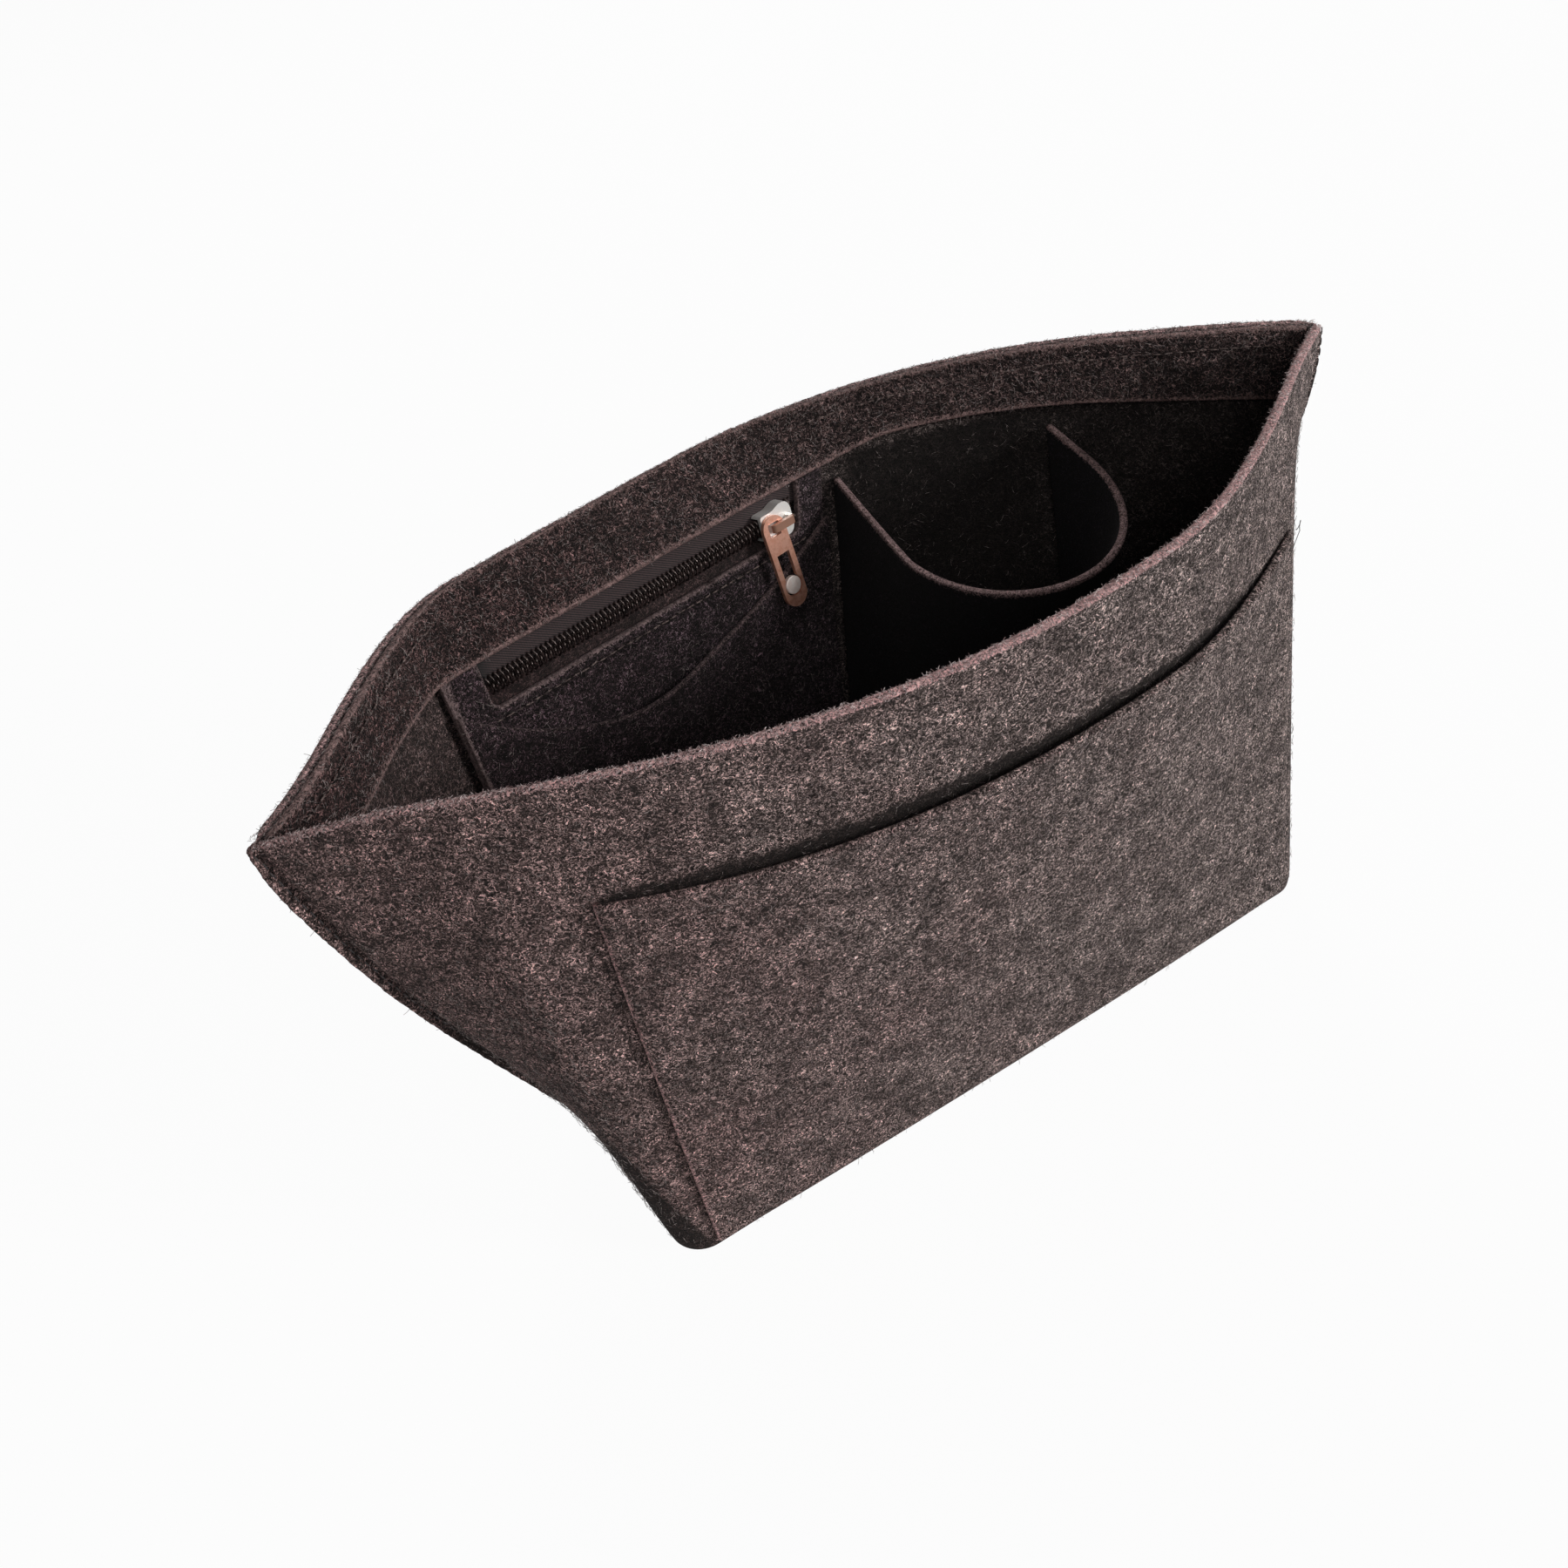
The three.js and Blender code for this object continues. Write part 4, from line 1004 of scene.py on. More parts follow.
def outer_pocket_piece():
    """Pocket sewn to the front wall down both sides and along its foot, gaping at its mouth."""
    across = np.linspace(0, 1, 170)[:, None]
    rise = spaced((0, 0.96, 48), (0.96, 1, 6))[None, :]
    share = mix(mix(*POCKET_LEFT, rise), mix(*POCKET_RIGHT, rise), across)
    height = mix(POCKET_FOOT, pocket_top(across), rise)
    bow = POCKET_GAPE * np.sin(math.pi * across**0.6) * rise**2
    off_wall = mix(0.12, SEAT + 0.2, np.sin(math.pi * across) ** 0.5)
    grid = inside_wall(share, height, FRONT, -(FELT + off_wall + bow))
    run = lengths(grid, 0)
    sewn = channel(run, 0.2, 1.6) + channel(run[-1:] - run, 0.6, 2.0) + channel(lengths(grid, 1), 0.35, 2.0)
    piece = felt_shell("outer_pocket_felt", grid, grid_normals(grid, 1), POCKET_FELT, wall_felt,
                       raw=(0, 0.2, 0.8, 0.2), pinch=np.minimum(sewn, 0.6), fade=0.3)
    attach(piece, "bag")
    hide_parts("outer_pocket")
    return piece


outer_pocket = outer_pocket_piece()


# Zip panel

LIP_STITCH = -(SLOT_HALF_WIDTH + 2.6)
LIP_PINCH = (0.5, 0.7)
LIP_RISE = (0.3, 1.1)
LIP_RISE_OVER_STITCH = 1.9


def stitch_row_span(along):
    """Where the stitches beside the slot run, fading out past its ends."""
    return ease(along, SLOT_START - 4, SLOT_START) * (1 - ease(along, SLOT_END + 2, SLOT_END + 6))


def over_lip_stitch(along, height):
    return height - (chain_height(along / CHAIN_SPAN) + LIP_STITCH)


def slot_pinch(along, height):
    """The row of stitches under the slot pulls the felt in, and the lip above it swells."""
    over = over_lip_stitch(along, height)
    raised = channel(over - LIP_RISE_OVER_STITCH, *LIP_RISE)
    return (channel(over, *LIP_PINCH) - raised) * stitch_row_span(along)


def lip_tone(along, height):
    """Pale cut edge along the slot, with a shadow under the raised lip."""
    outside = -slot_depth(along, height)[0]
    shadow = 0.7 * channel(over_lip_stitch(along, height) + 0.5, 1, 0.6)
    return 0.75 * np.exp(-np.maximum(outside, 0) / 0.6) - shadow * stitch_row_span(along)


def slot_depth(along, height):
    """How far inside the slot's outline a point lies, and how far past the centre of the nearest corner's
    arc it lies, along and down."""
    low = chain_height(along / CHAIN_SPAN) - SLOT_HALF_WIDTH
    left, right = SLOT_START + SLOT_CORNER, SLOT_END - SLOT_CORNER
    dx = np.where(along < left, left - along, np.where(along > right, along - right, 0))
    dy = np.maximum(low + SLOT_CORNER - height, 0)
    return SLOT_CORNER - np.hypot(dx, dy), dx, dy


def onto_slot(a, h, inside):
    """Moves the grid points on the border of the cut onto the slot's rounded outline."""
    touched = cells_at_points(inside)
    border = (touched > 0) & (touched < cells_at_points(np.ones_like(inside)))
    gap, dx, dy = slot_depth(a, h)
    reach = np.maximum(np.hypot(dx, dy), 1e-6)
    at_left = a < CHAIN_SPAN / 2
    straight = border & (dy <= 0)
    corner = border & (dy > 0)
    moved_a = np.where(corner, a + np.where(at_left, -1, 1) * dx / reach * gap, a)
    moved_h = np.where(corner, h - dy / reach * gap, h)
    return np.where(straight, np.where(at_left, SLOT_START, SLOT_END), moved_a), moved_h


def zip_panel_piece():
    """Panel of the zip pocket, cut out around the slot."""
    along = spaced((0, SLOT_START - 2, 10), (SLOT_START - 2, SLOT_START + 5, 18),
                   (SLOT_START + 5, SLOT_END - 5, 70), (SLOT_END - 5, SLOT_END + 2, 18),
                   (SLOT_END + 2, CHAIN_SPAN, 10))
    slot_foot = WALL_HEIGHT - CHAIN_DROP[0] - SLOT_HALF_WIDTH
    rows = spaced((BLOCK_FOOT, slot_foot - 5, 42), (slot_foot - 5, slot_foot + 4, 26),
                  (slot_foot + 4, PANEL_TOP, 14))
    a, h = np.meshgrid(along, rows, indexing="ij")
    inside = slot_depth(cell_middles(a), cell_middles(h))[0] > 0
    a, h = onto_slot(a, h, inside)
    grid = on_block(a / CHAIN_SPAN, h, np.full_like(a, PANEL_STANDOFF))
    piece = felt_shell("zip_panel_felt", grid, grid_normals(grid, 1), POCKET_FELT, pocket_felt,
                       mask=~inside, raw=(0, 0.1, 1.6, 0.4), raw_hole=0.9, pinch=slot_pinch(a, h),
                       fade=1.3, tone=lip_tone(a, h))
    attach(piece, "bag")
    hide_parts("zip_pocket_panel")
    return piece


zip_panel = zip_panel_piece()


# Slip pocket

# Painted shade on the slip pocket, darkest at its left and low down
SLIP_SHADE = 0.62


def slip_pocket_piece():
    """Pocket in front of the zip panel, its top edge scooped."""
    across = np.linspace(0, 1, 110)[:, None]
    rise = spaced((0, 0.95, 36), (0.95, 1, 6))[None, :]
    left = across < SLIP_MIDDLE
    reach = np.where(left, across / SLIP_MIDDLE - 1, (across - SLIP_MIDDLE) / (1 - SLIP_MIDDLE))
    top = WALL_HEIGHT - SLIP_DROP + np.where(left, SLIP_RISE[0], SLIP_RISE[1]) * reach**2
    height = mix(BLOCK_FOOT, top, rise)
    start, stop = SLIP_BOW_SPAN
    swell = np.sin(math.pi * np.clip((across - start) / (stop - start), 0, 1)) ** 2
    off = PANEL_STANDOFF + POCKET_FELT + SEAT + SLIP_BOW * swell * rise**2
    grid = on_block(across + 0 * rise, height, off)
    piece = felt_shell("slip_pocket_felt", grid, grid_normals(grid, 1), SLIP_FELT, pocket_felt,
                       raw=(0, 0.7, 1.6, 0.2), fluff=0.03, fade=1.0,
                       tone=-SLIP_SHADE * (1 - ease(across, 0.1, 0.95)) * (1 - 0.5 * rise))
    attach(piece, "bag")
    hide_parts("slip_pocket")
    return piece


slip_pocket = slip_pocket_piece()


# Bottle pocket

def run_along(path):
    """Length from the start of a line of points to each of them."""
    return np.concatenate([[0], np.cumsum(np.linalg.norm(np.diff(path, axis=0), axis=-1))])


def points_at(spots, run, path):
    """Points of a line at the given lengths along it."""
    return np.stack([np.interp(spots, run, path[:, i]) for i in range(path.shape[1])], -1)


def bottle_loop(shares):
    """Plan of the bottle pocket's mouth: straight side, half ellipse, straight side."""
    height = WALL_HEIGHT - BOTTLE_DROP
    left = inside_wall(BOTTLE_TOP[0], height, BACK, BOTTLE_SEAT)
    right = inside_wall(BOTTLE_TOP[1], height, BACK, BOTTLE_SEAT)
    middle = (left[0] + right[0]) / 2 - LOOP_LEAN
    nose_y = (left[1] + right[1]) / 2 - LOOP_REACH + LOOP_NOSE
    turn = np.linspace(math.pi, 2 * math.pi, 200)
    arc = np.stack([middle + LOOP_HALF_WIDTH * np.cos(turn), nose_y + LOOP_NOSE * np.sin(turn)], -1)
    path = np.concatenate([[left[:2]], arc, [right[:2]]])
    run = run_along(path)
    level = mix(left[2], right[2], shares) - LOOP_SAG * np.sin(math.pi * shares)
    return np.concatenate([points_at(shares * run[-1], run, path), level[:, None]], -1)


def bottle_pocket_piece():
    """Loop of felt that stands off the back wall."""
    shares = np.linspace(0, 1, 150)
    rises = spaced((0, 0.96, 44), (0.96, 1, 6))
    top = bottle_loop(shares)
    feet = inside_wall(mix(*BOTTLE_FEET, shares), np.full_like(shares, BOTTLE_FOOT), BACK,
                       np.full_like(shares, SEAT + POCKET_FELT))
    grid = feet[:, None] + (top - feet)[:, None] * rises[None, :, None]
    # Its felt is a darker copy of the pocket felt, as painted shade inside the loop
    piece = felt_shell("bottle_pocket_felt", grid, grid_normals(grid, -1), POCKET_FELT, shaded_bottle_felt,
                       raw=(0.1, 0.9, 0, 0))
    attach(piece, "bag")
    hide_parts("bottle_pocket")
    return piece


bottle_pocket = bottle_pocket_piece()


# Trees that set things out

def node_tree(label, inputs):
    """Empty tree with a geometry and a number for each named input."""
    tree = bpy.data.node_groups.new(label, "GeometryNodeTree")
    group_sockets(tree, "INPUT", [("Geometry", "Geometry")])
    group_sockets(tree, "OUTPUT", [("Geometry", "Geometry")])
    for name, value in inputs.items():
        spot = tree.interface.new_socket(name, in_out="INPUT", socket_type="NodeSocketFloat")
        spot.default_value = value
    return tree


def close_tree(tree, geometry, material):
    """Ends a tree with one real mesh in one material."""
    real = new_node(tree, "GeometryNodeRealizeInstances", {0: geometry})
    painted = new_node(tree, "GeometryNodeSetMaterial", {"Geometry": real.outputs[0]})
    painted.inputs["Material"].default_value = material
    end = tree.nodes.new("NodeGroupOutput")
    tree.links.new(painted.outputs[0], end.inputs[0])


def named(tree, label):
    links = {"Name": label}
    node = new_node(tree, "GeometryNodeInputNamedAttribute", links, data_type="FLOAT_VECTOR")
    return node.outputs["Attribute"]


def xyz(tree, x, y, z):
    return new_node(tree, "ShaderNodeCombineXYZ", {0: x, 1: y, 2: z}).outputs[0]


def smooth(tree, geometry):
    return new_node(tree, "GeometryNodeSetShadeSmooth", {"Geometry": geometry}).outputs[0]


def tube_along(tree, curve, sides, radius):
    """Closed tube along a curve."""
    ring = new_node(tree, "GeometryNodeCurvePrimitiveCircle", {"Resolution": sides, "Radius": radius})
    links = {"Curve": curve, "Profile Curve": ring.outputs[0], "Fill Caps": True}
    return new_node(tree, "GeometryNodeCurveToMesh", links).outputs[0]


def set_out(tree, points, unit_shape, material):
    """Puts the unit shape on every point, its x along "dir", its z along "out", its size from "size"."""
    turn = new_node(tree, "FunctionNodeAxesToRotation", {0: named(tree, "out"), 1: named(tree, "dir")},
                    primary_axis="Z", secondary_axis="X")
    links = {"Points": points, "Instance": unit_shape, "Rotation": turn.outputs[0],
             "Scale": named(tree, "size")}
    close_tree(tree, new_node(tree, "GeometryNodeInstanceOnPoints", links).outputs[0], material)


def stitch_tree(material):
    """Threads: a unit ball on every point, drawn out by its size and flattened by Thread Height."""
    tree = node_tree("stitches", {"Thread Height": 1.0})
    start = tree.nodes.new("NodeGroupInput").outputs
    ball = new_node(tree, "GeometryNodeMeshUVSphere", {"Segments": 8, "Rings": 6, "Radius": 0.5})
    links = {"Geometry": ball.outputs[0], "Scale": xyz(tree, 1.0, 1.0, start["Thread Height"])}
    flat = new_node(tree, "GeometryNodeTransform", links)
    set_out(tree, start[0], smooth(tree, flat.outputs[0]), material)
    return tree


def fibre_tree(material):
    """Loose fibres: a thin bent tube of unit length on every point."""
    tree = node_tree("loose_fibres", {"Fibre Radius": 0.035, "Bend": 0.45})
    start = tree.nodes.new("NodeGroupInput").outputs
    links = {"Resolution": 3, "Start": (0, 0, 0), "Middle": xyz(tree, 0.15, 0.1, start["Bend"]),
             "End": xyz(tree, 1.0, -0.15, 0.3)}
    arc = new_node(tree, "GeometryNodeCurveQuadraticBezier", links)
    set_out(tree, start[0], tube_along(tree, arc.outputs[0], 3, start["Fibre Radius"]), material)
    return tree


def grown(name, tree, settings, points=None, places=None):
    """Runs a tree on a cloud of points, in millimetres, and keeps the result as a plain mesh."""
    mesh = bpy.data.meshes.new(name + "_points")
    places = np.zeros((1, 3)) if places is None else np.asarray(places)
    mesh.from_pydata((places * MM).tolist(), [], [])
    for label, values in (points or {}).items():
        point_values(mesh, label, np.broadcast_to(values, (len(places), 3)))
    seed = placed(name + "_seed", mesh)
    modifier = seed.modifiers.new("grow", "NODES")
    modifier.node_group = tree
    for item in tree.interface.items_tree:
        if item.item_type == "SOCKET" and item.in_out == "INPUT" and item.name in settings:
            modifier[item.identifier] = settings[item.name]
    graph = bpy.context.evaluated_depsgraph_get()
    whole = bpy.data.meshes.new_from_object(seed.evaluated_get(graph))
    whole.name = name
    bpy.data.objects.remove(seed)
    piece = placed(name, whole)
    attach(piece, "bag")
    return piece


# Zip

TWILL_TURN = 0.5
RIB_PITCH = 0.52
WARP_PITCH = 0.36
RIB_WEIGHT = 0.6
WARP_WEIGHT = 0.35


def darken_start(tree, colour, reach, depth):
    """Painted shade over the zip's left end, where it lies in a hollow of the felt."""
    here = chain_frame(0)
    way = here.col[0].to_3d().normalized()
    from_start = math_node(tree, "SUBTRACT", distance_along(tree, way), way.dot(here.translation))
    along = times(tree, from_start, 1 / MM)
    return shaded(tree, colour, map_range(tree, along, SLOT_START, SLOT_START + reach, depth, 1.0))


def wave(tree, value, pitch):
    return math_node(tree, "SINE", times(tree, value, 2 * math.pi / pitch))


def twill(name):
    """Woven tape: fine slanting ribs crossed by the warp."""
    material = simple(name, (58, 49, 50), 0.85)
    tree = material.node_tree
    lay = stored(tree, "lay", "Vector")
    split = new_node(tree, "ShaderNodeSeparateXYZ", {0: turned(tree, lay, TWILL_TURN)}).outputs
    ribs = times(tree, wave(tree, split[1], RIB_PITCH), RIB_WEIGHT)
    warp = times(tree, wave(tree, split[0], WARP_PITCH), WARP_WEIGHT)
    weave = add(tree, ribs, warp)
    shade = map_range(tree, add(tree, weave, noise_at(tree, lay, 1.4, 3.0, 0.6)), 0.0, 1.1)
    colour = blend_colours(tree, shade, linear(14, 8, 9), linear(68, 52, 52))
    # Painted shade at the tape's left end
    feed(material, "Base Color", darken_start(tree, colour, 5, 0.05))
    raise_surface(material, weave, 0.5, 0.08)
    return material


def tape_piece(name, side, node, material):
    """Half of the zip's tape, parted where the slider holds it open."""
    along = spaced((SLOT_START - TAPE_PAST_SLOT, PARTED - PARTING_LENGTH, 60),
                   (PARTED - PARTING_LENGTH, PARTED, 16), (PARTED, SLOT_END + TAPE_PAST_SLOT, 8))[:, None]
    share = np.linspace(0, 1, 14)[None, :]
    middle = chain_height(along / CHAIN_SPAN)
    inner = TAPE_EDGE_GAP / 2 + parting_at(along)
    reach = FACING_FOOT - middle + TAPE_UNDER_FACING if side > 0 else SLOT_HALF_WIDTH + TAPE_HIDDEN
    grid = on_block(along / CHAIN_SPAN + 0 * share, middle + side * mix(inner, reach, share), 0.0)
    piece = felt_shell(name, grid, grid_normals(grid, side), TAPE_THICKNESS, material, raw=(0, 0, 0, 0))
    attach(piece, "bag")
    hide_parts(node)
    return piece


upper_tape = tape_piece("upper_tape_twill", BACK, "zip_tape_upper", twill("tape_twill"))
lower_tape = tape_piece("lower_tape_nap", FRONT, "zip_tape_lower", lip_felt)


def gloss(name):
    """Dark monofilament with a bright lip of light."""
    material = simple(name, (26, 21, 21), 0.24, others={"Specular IOR Level": 0.55,
                                                        "Specular Tint": linear(255, 234, 226)})
    tree = material.node_tree
    streak = map_range(tree, noise_at(tree, object_place(tree), 900.0, 2.0), 0.35, 0.7)
    colour = blend_colours(tree, streak, linear(17, 13, 13), linear(66, 54, 52))
    # Painted shade at the coil's left end
    feed(material, "Base Color", darken_start(tree, colour, 4, 0.3))
    return material


COIL_CROWN = 0.85
COIL_SQUARENESS = 0.45


def coil_tree(material):
    """One half of the chain: a helix flattened, set beside the middle line and parted past the slider."""
    inputs = {"Turns": 60.0, "Pitch": 1.34, "Half Span": 1.2, "Rise": 0.9, "Offset": 1.0,
              "Wire Radius": 0.25, "Side": 1.0, "Start": 0.0, "Parts From": 50.0, "Parts To": 60.0,
              "Parting": 1.2}
    tree = node_tree("coil_half", inputs)
    start = tree.nodes.new("NodeGroupInput").outputs
    links = {"Resolution": 22, "Rotations": start["Turns"], "Start Radius": 1.0, "End Radius": 1.0,
             "Height": times(tree, start["Turns"], start["Pitch"])}
    helix = new_node(tree, "GeometryNodeCurveSpiral", links)
    position = tree.nodes.new("GeometryNodeInputPosition").outputs[0]
    place = new_node(tree, "ShaderNodeSeparateXYZ", {0: position}).outputs
    along = add(tree, place[2], start["Start"])
    opened = map_range(tree, along, start["Parts From"], start["Parts To"])
    gap = add(tree, start["Offset"], times(tree, opened, start["Parting"]))
    swing = times(tree, place[0], start["Half Span"])
    across = times(tree, add(tree, swing, gap), start["Side"])
    reach = add(tree, start["Half Span"], start["Offset"])
    level = math_node(tree, "DIVIDE", add(tree, swing, start["Offset"]), reach)
    crown = math_node(tree, "SUBTRACT", 1.0, times(tree, times(tree, level, level), COIL_CROWN))
    steep = math_node(tree, "POWER", math_node(tree, "ABSOLUTE", place[1]), COIL_SQUARENESS)
    face = times(tree, math_node(tree, "SIGN", place[1]), -1.0)
    bulge = times(tree, steep, math_node(tree, "SQRT", crown))
    up = times(tree, times(tree, bulge, face), start["Rise"])
    links = {"Geometry": helix.outputs[0], "Position": xyz(tree, along, across, up)}
    moved = new_node(tree, "GeometryNodeSetPosition", links)
    wire = tube_along(tree, moved.outputs[0], 8, start["Wire Radius"])
    close_tree(tree, smooth(tree, wire), material)
    return tree


COIL_TREE = coil_tree(gloss("coil_monofilament"))


def coil_piece(name, side, node):
    """Half of the chain. The lower half starts half a pitch later, so that the two mesh."""
    turns = math.floor((SLOT_END - SLOT_START - COIL_PITCH) / COIL_PITCH)
    first = SLOT_START + COIL_PITCH / 2 + (0 if side > 0 else COIL_PITCH / 2)
    settings = {"Turns": float(turns), "Pitch": COIL_PITCH,
                "Half Span": (COIL_OUTER + COIL_OVERLAP - COIL_WIRE) / 2,
                "Rise": (COIL_THICKNESS - COIL_WIRE) / 2, "Offset": (COIL_OUTER - COIL_OVERLAP) / 2,
                "Wire Radius": COIL_WIRE / 2, "Side": float(side), "Start": first,
                "Parts From": PARTED - PARTING_LENGTH, "Parts To": PARTED, "Parting": PARTING}
    piece = grown(name, COIL_TREE, settings)
    middle = COIL_BACK + COIL_THICKNESS / 2
    lift = Matrix.Translation((-CHAIN_SPAN / 2 * MM, 0, middle * MM))
    piece.data.transform(chain_frame(CHAIN_SPAN / 2) @ lift @ Matrix.Scale(MM, 4))
    turn_outwards(piece.data)
    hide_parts(node)
    return piece


upper_coil = coil_piece("upper_coil_wire", BACK, "zip_coil_upper")
lower_coil = coil_piece("lower_coil_wire", FRONT, "zip_coil_lower")


# Slider, pull and disc

STRAP_FROM = COIL_BACK + COIL_THICKNESS + SLIDER_CLEARANCE + SLIDER_PLATE + STRAP_RISE
STRAP_BLEND = 0.4
BEVEL_ANGLE = 40


def metal(name, light, shade, roughness, metallic):
    """Plated metal with fine rub marks."""
    material = simple(name, light, roughness, metallic)
    tree = material.node_tree
    rub = noise_at(tree, object_place(tree), 700.0, 4.0, 0.65)
    colour = blend_colours(tree, map_range(tree, rub, 0.35, 0.65), linear(*shade), linear(*light))
    feed(material, "Base Color", colour)
    feed(material, "Roughness", map_range(tree, rub, 0.3, 0.7, roughness + 0.12, roughness))
    raise_surface(material, rub, 0.25, 0.02)
    return material


def tint_strap(material):
    """Copper shows on the worn strap of the bridge, above the plate's front face."""
    tree = material.node_tree
    here = chain_frame(SLIDER_REST)
    outward = here.col[2].to_3d()
    level = outward.dot(here.translation) + STRAP_FROM * MM
    mask = map_range(tree, distance_along(tree, outward), level, level + STRAP_BLEND * MM)
    plain = shader_of(material).inputs["Base Color"].links[0].from_socket
    feed(material, "Base Color", blend_colours(tree, mask, plain, linear(176, 132, 112)))


def finish_metal(node, material, bevel):
    """Gives a piece of the part's own solids its metal and rounded edges."""
    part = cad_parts[node]
    part.data.materials.clear()
    part.data.materials.append(material)
    rounding = part.modifiers.new("rounding", "BEVEL")
    rounding.width = bevel * MM
    rounding.segments = 2
    rounding.limit_method = "ANGLE"
    rounding.angle_limit = math.radians(BEVEL_ANGLE)


nickel = metal("slider_nickel", (255, 253, 250), (246, 242, 236), 0.28, 0.35)
copper = metal("pull_copper", (226, 172, 150), (196, 138, 116), 0.34, 0.55)
pearl = metal("disc_pearl", (255, 243, 236), (244, 222, 212), 0.3, 0.1)
tint_strap(nickel)
finish_metal("slider_body", nickel, 0.16)
finish_metal("pull_tab", copper, 0.14)
finish_metal("pull_disc", pearl, 0.1)


# Stitches

STITCH_FLATNESS = 0.8
STITCH_SINK = 0.1
STITCH_WANDER = 0.06
HEADING_STEP = 0.2
RIM_LINE_END = 0.97
OUTSIDE_LINE_END = 0.95
SEAM_LINE_IN_FIN = 1.2
SEAM_LINE_OFF_FIN_EDGE = 0.6


def thread(name, dark, light):
    """Twisted thread or fibre in two tones."""
    material = simple(name, dark, 0.8)
    tree = material.node_tree
    twist = map_range(tree, noise_at(tree, object_place(tree), 1500.0, 2.0), 0.4, 0.65)
    feed(material, "Base Color", blend_colours(tree, twist, linear(*dark), linear(*light)))
    return material


dark_thread = thread("thread_dark", (30, 25, 26), (64, 56, 55))
DARK_STITCHES = stitch_tree(dark_thread)
MID_STITCHES = stitch_tree(thread("thread_mid", (64, 52, 50), (132, 114, 108)))


def evenly(path, pitch):
    """Points at an even pitch along a line of points, with the direction there."""
    run = run_along(path)
    spots = np.arange(pitch / 2, run[-1], pitch)
    ahead = points_at(spots + HEADING_STEP, run, path)
    behind = points_at(spots - HEADING_STEP, run, path)
    return points_at(spots, run, path), unit(ahead - behind), spots / run[-1]


def seam_stitches(name, lines, tree, pitch=2.6, length=2.1, width=0.42):
    """A row of stitches along each line: a line is its points and the way out of the cloth."""
    places, ways, outs = [], [], []
    rng = np.random.default_rng(len(name))
    for points, outward in lines:
        here, way, share = evenly(points, pitch)
        out = points_at(share, np.linspace(0, 1, len(outward)), outward)
        wander = unit(np.cross(out, way)) * rng.normal(0, STITCH_WANDER, (len(here), 1))
        places.append(here + out * (width / 2 - STITCH_SINK) + wander)
        ways.append(way + wander * 0.5)
        outs.append(out)
    size = np.array([length, width, width]) * MM
    points = {"dir": np.concatenate(ways), "out": np.concatenate(outs), "size": size}
    return grown(name, tree, {"Thread Height": STITCH_FLATNESS}, points, np.concatenate(places))


def rim_line():
    """Topstitch under the rim, on the facing."""
    share = np.linspace(-RIM_LINE_END, RIM_LINE_END, 200)
    height = np.full_like(share, WALL_HEIGHT - STITCH_UNDER_RIM)
    return inside_wall(share, height, BACK, FACING_SEAT + POCKET_FELT), wall_inward(share, height, BACK)


def outside_line():
    """The same topstitch where it shows on the outside of the back wall."""
    share = np.linspace(-OUTSIDE_LINE_END, OUTSIDE_LINE_END, 200)
    height = WALL_HEIGHT - STITCH_UNDER_RIM
    inward = wall_inward(share, height, BACK)
    return wall(share, height, BACK) - inward * FELT, -inward


def lip_line():
    """Stitches in the zip panel, under the slot."""
    across = np.linspace(SLOT_START - 1, SLOT_END + 3, 120) / CHAIN_SPAN
    height = chain_height(across) + LIP_STITCH
    return on_block(across, height, PANEL_STANDOFF + POCKET_FELT), block_inward(across, height)


def seam_line(end):
    """Line of the side seam, just inside the fin, on the front wall's outer face."""
    heights = np.linspace(4, WALL_HEIGHT - 1, 120)
    edge = wall(np.full_like(heights, float(end)), heights, FRONT)
    edge[:, 0] += end * np.minimum(SEAM_LINE_IN_FIN, fin_width(heights, end) - SEAM_LINE_OFF_FIN_EDGE)
    outward = np.stack([np.zeros_like(heights), -np.ones_like(heights), np.zeros_like(heights)], -1)
    return edge + outward * (FELT + 0.1), outward


rim_stitches = seam_stitches("rim_topstitch", [rim_line(), outside_line()], MID_STITCHES)
lip_stitches = seam_stitches("slot_topstitch", [lip_line()], MID_STITCHES, 2.7, 2.4, 0.36)
side_stitches = seam_stitches("side_seam_stitches", [seam_line(-1), seam_line(1)], DARK_STITCHES)


# Loose thread

THREAD_SIDES = 6


def thread_piece(name, points, radius, material):
    """A short length of thread swept along points, in millimetres."""
    way = unit(np.gradient(points, axis=0))
    side = unit(np.cross(way, np.array([0.3, 0.2, 1.0])))
    rise = unit(np.cross(way, side))
    turn = np.linspace(0, 2 * math.pi, THREAD_SIDES, endpoint=False)[None, :, None]
    rings = points[:, None] + radius * (side[:, None] * np.cos(turn) + rise[:, None] * np.sin(turn))
    last = (len(points) - 1) * THREAD_SIDES
    faces = []
    for low in range(0, last, THREAD_SIDES):
        for k in range(THREAD_SIDES):
            after = (k + 1) % THREAD_SIDES
            high = low + THREAD_SIDES
            faces.append((low + k, low + after, high + after, high + k))
    faces += [tuple(range(THREAD_SIDES))[::-1], tuple(last + k for k in range(THREAD_SIDES))]
    piece = mesh_piece(name, rings.reshape(-1, 3), faces, material)
    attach(piece, "bag")
    return piece


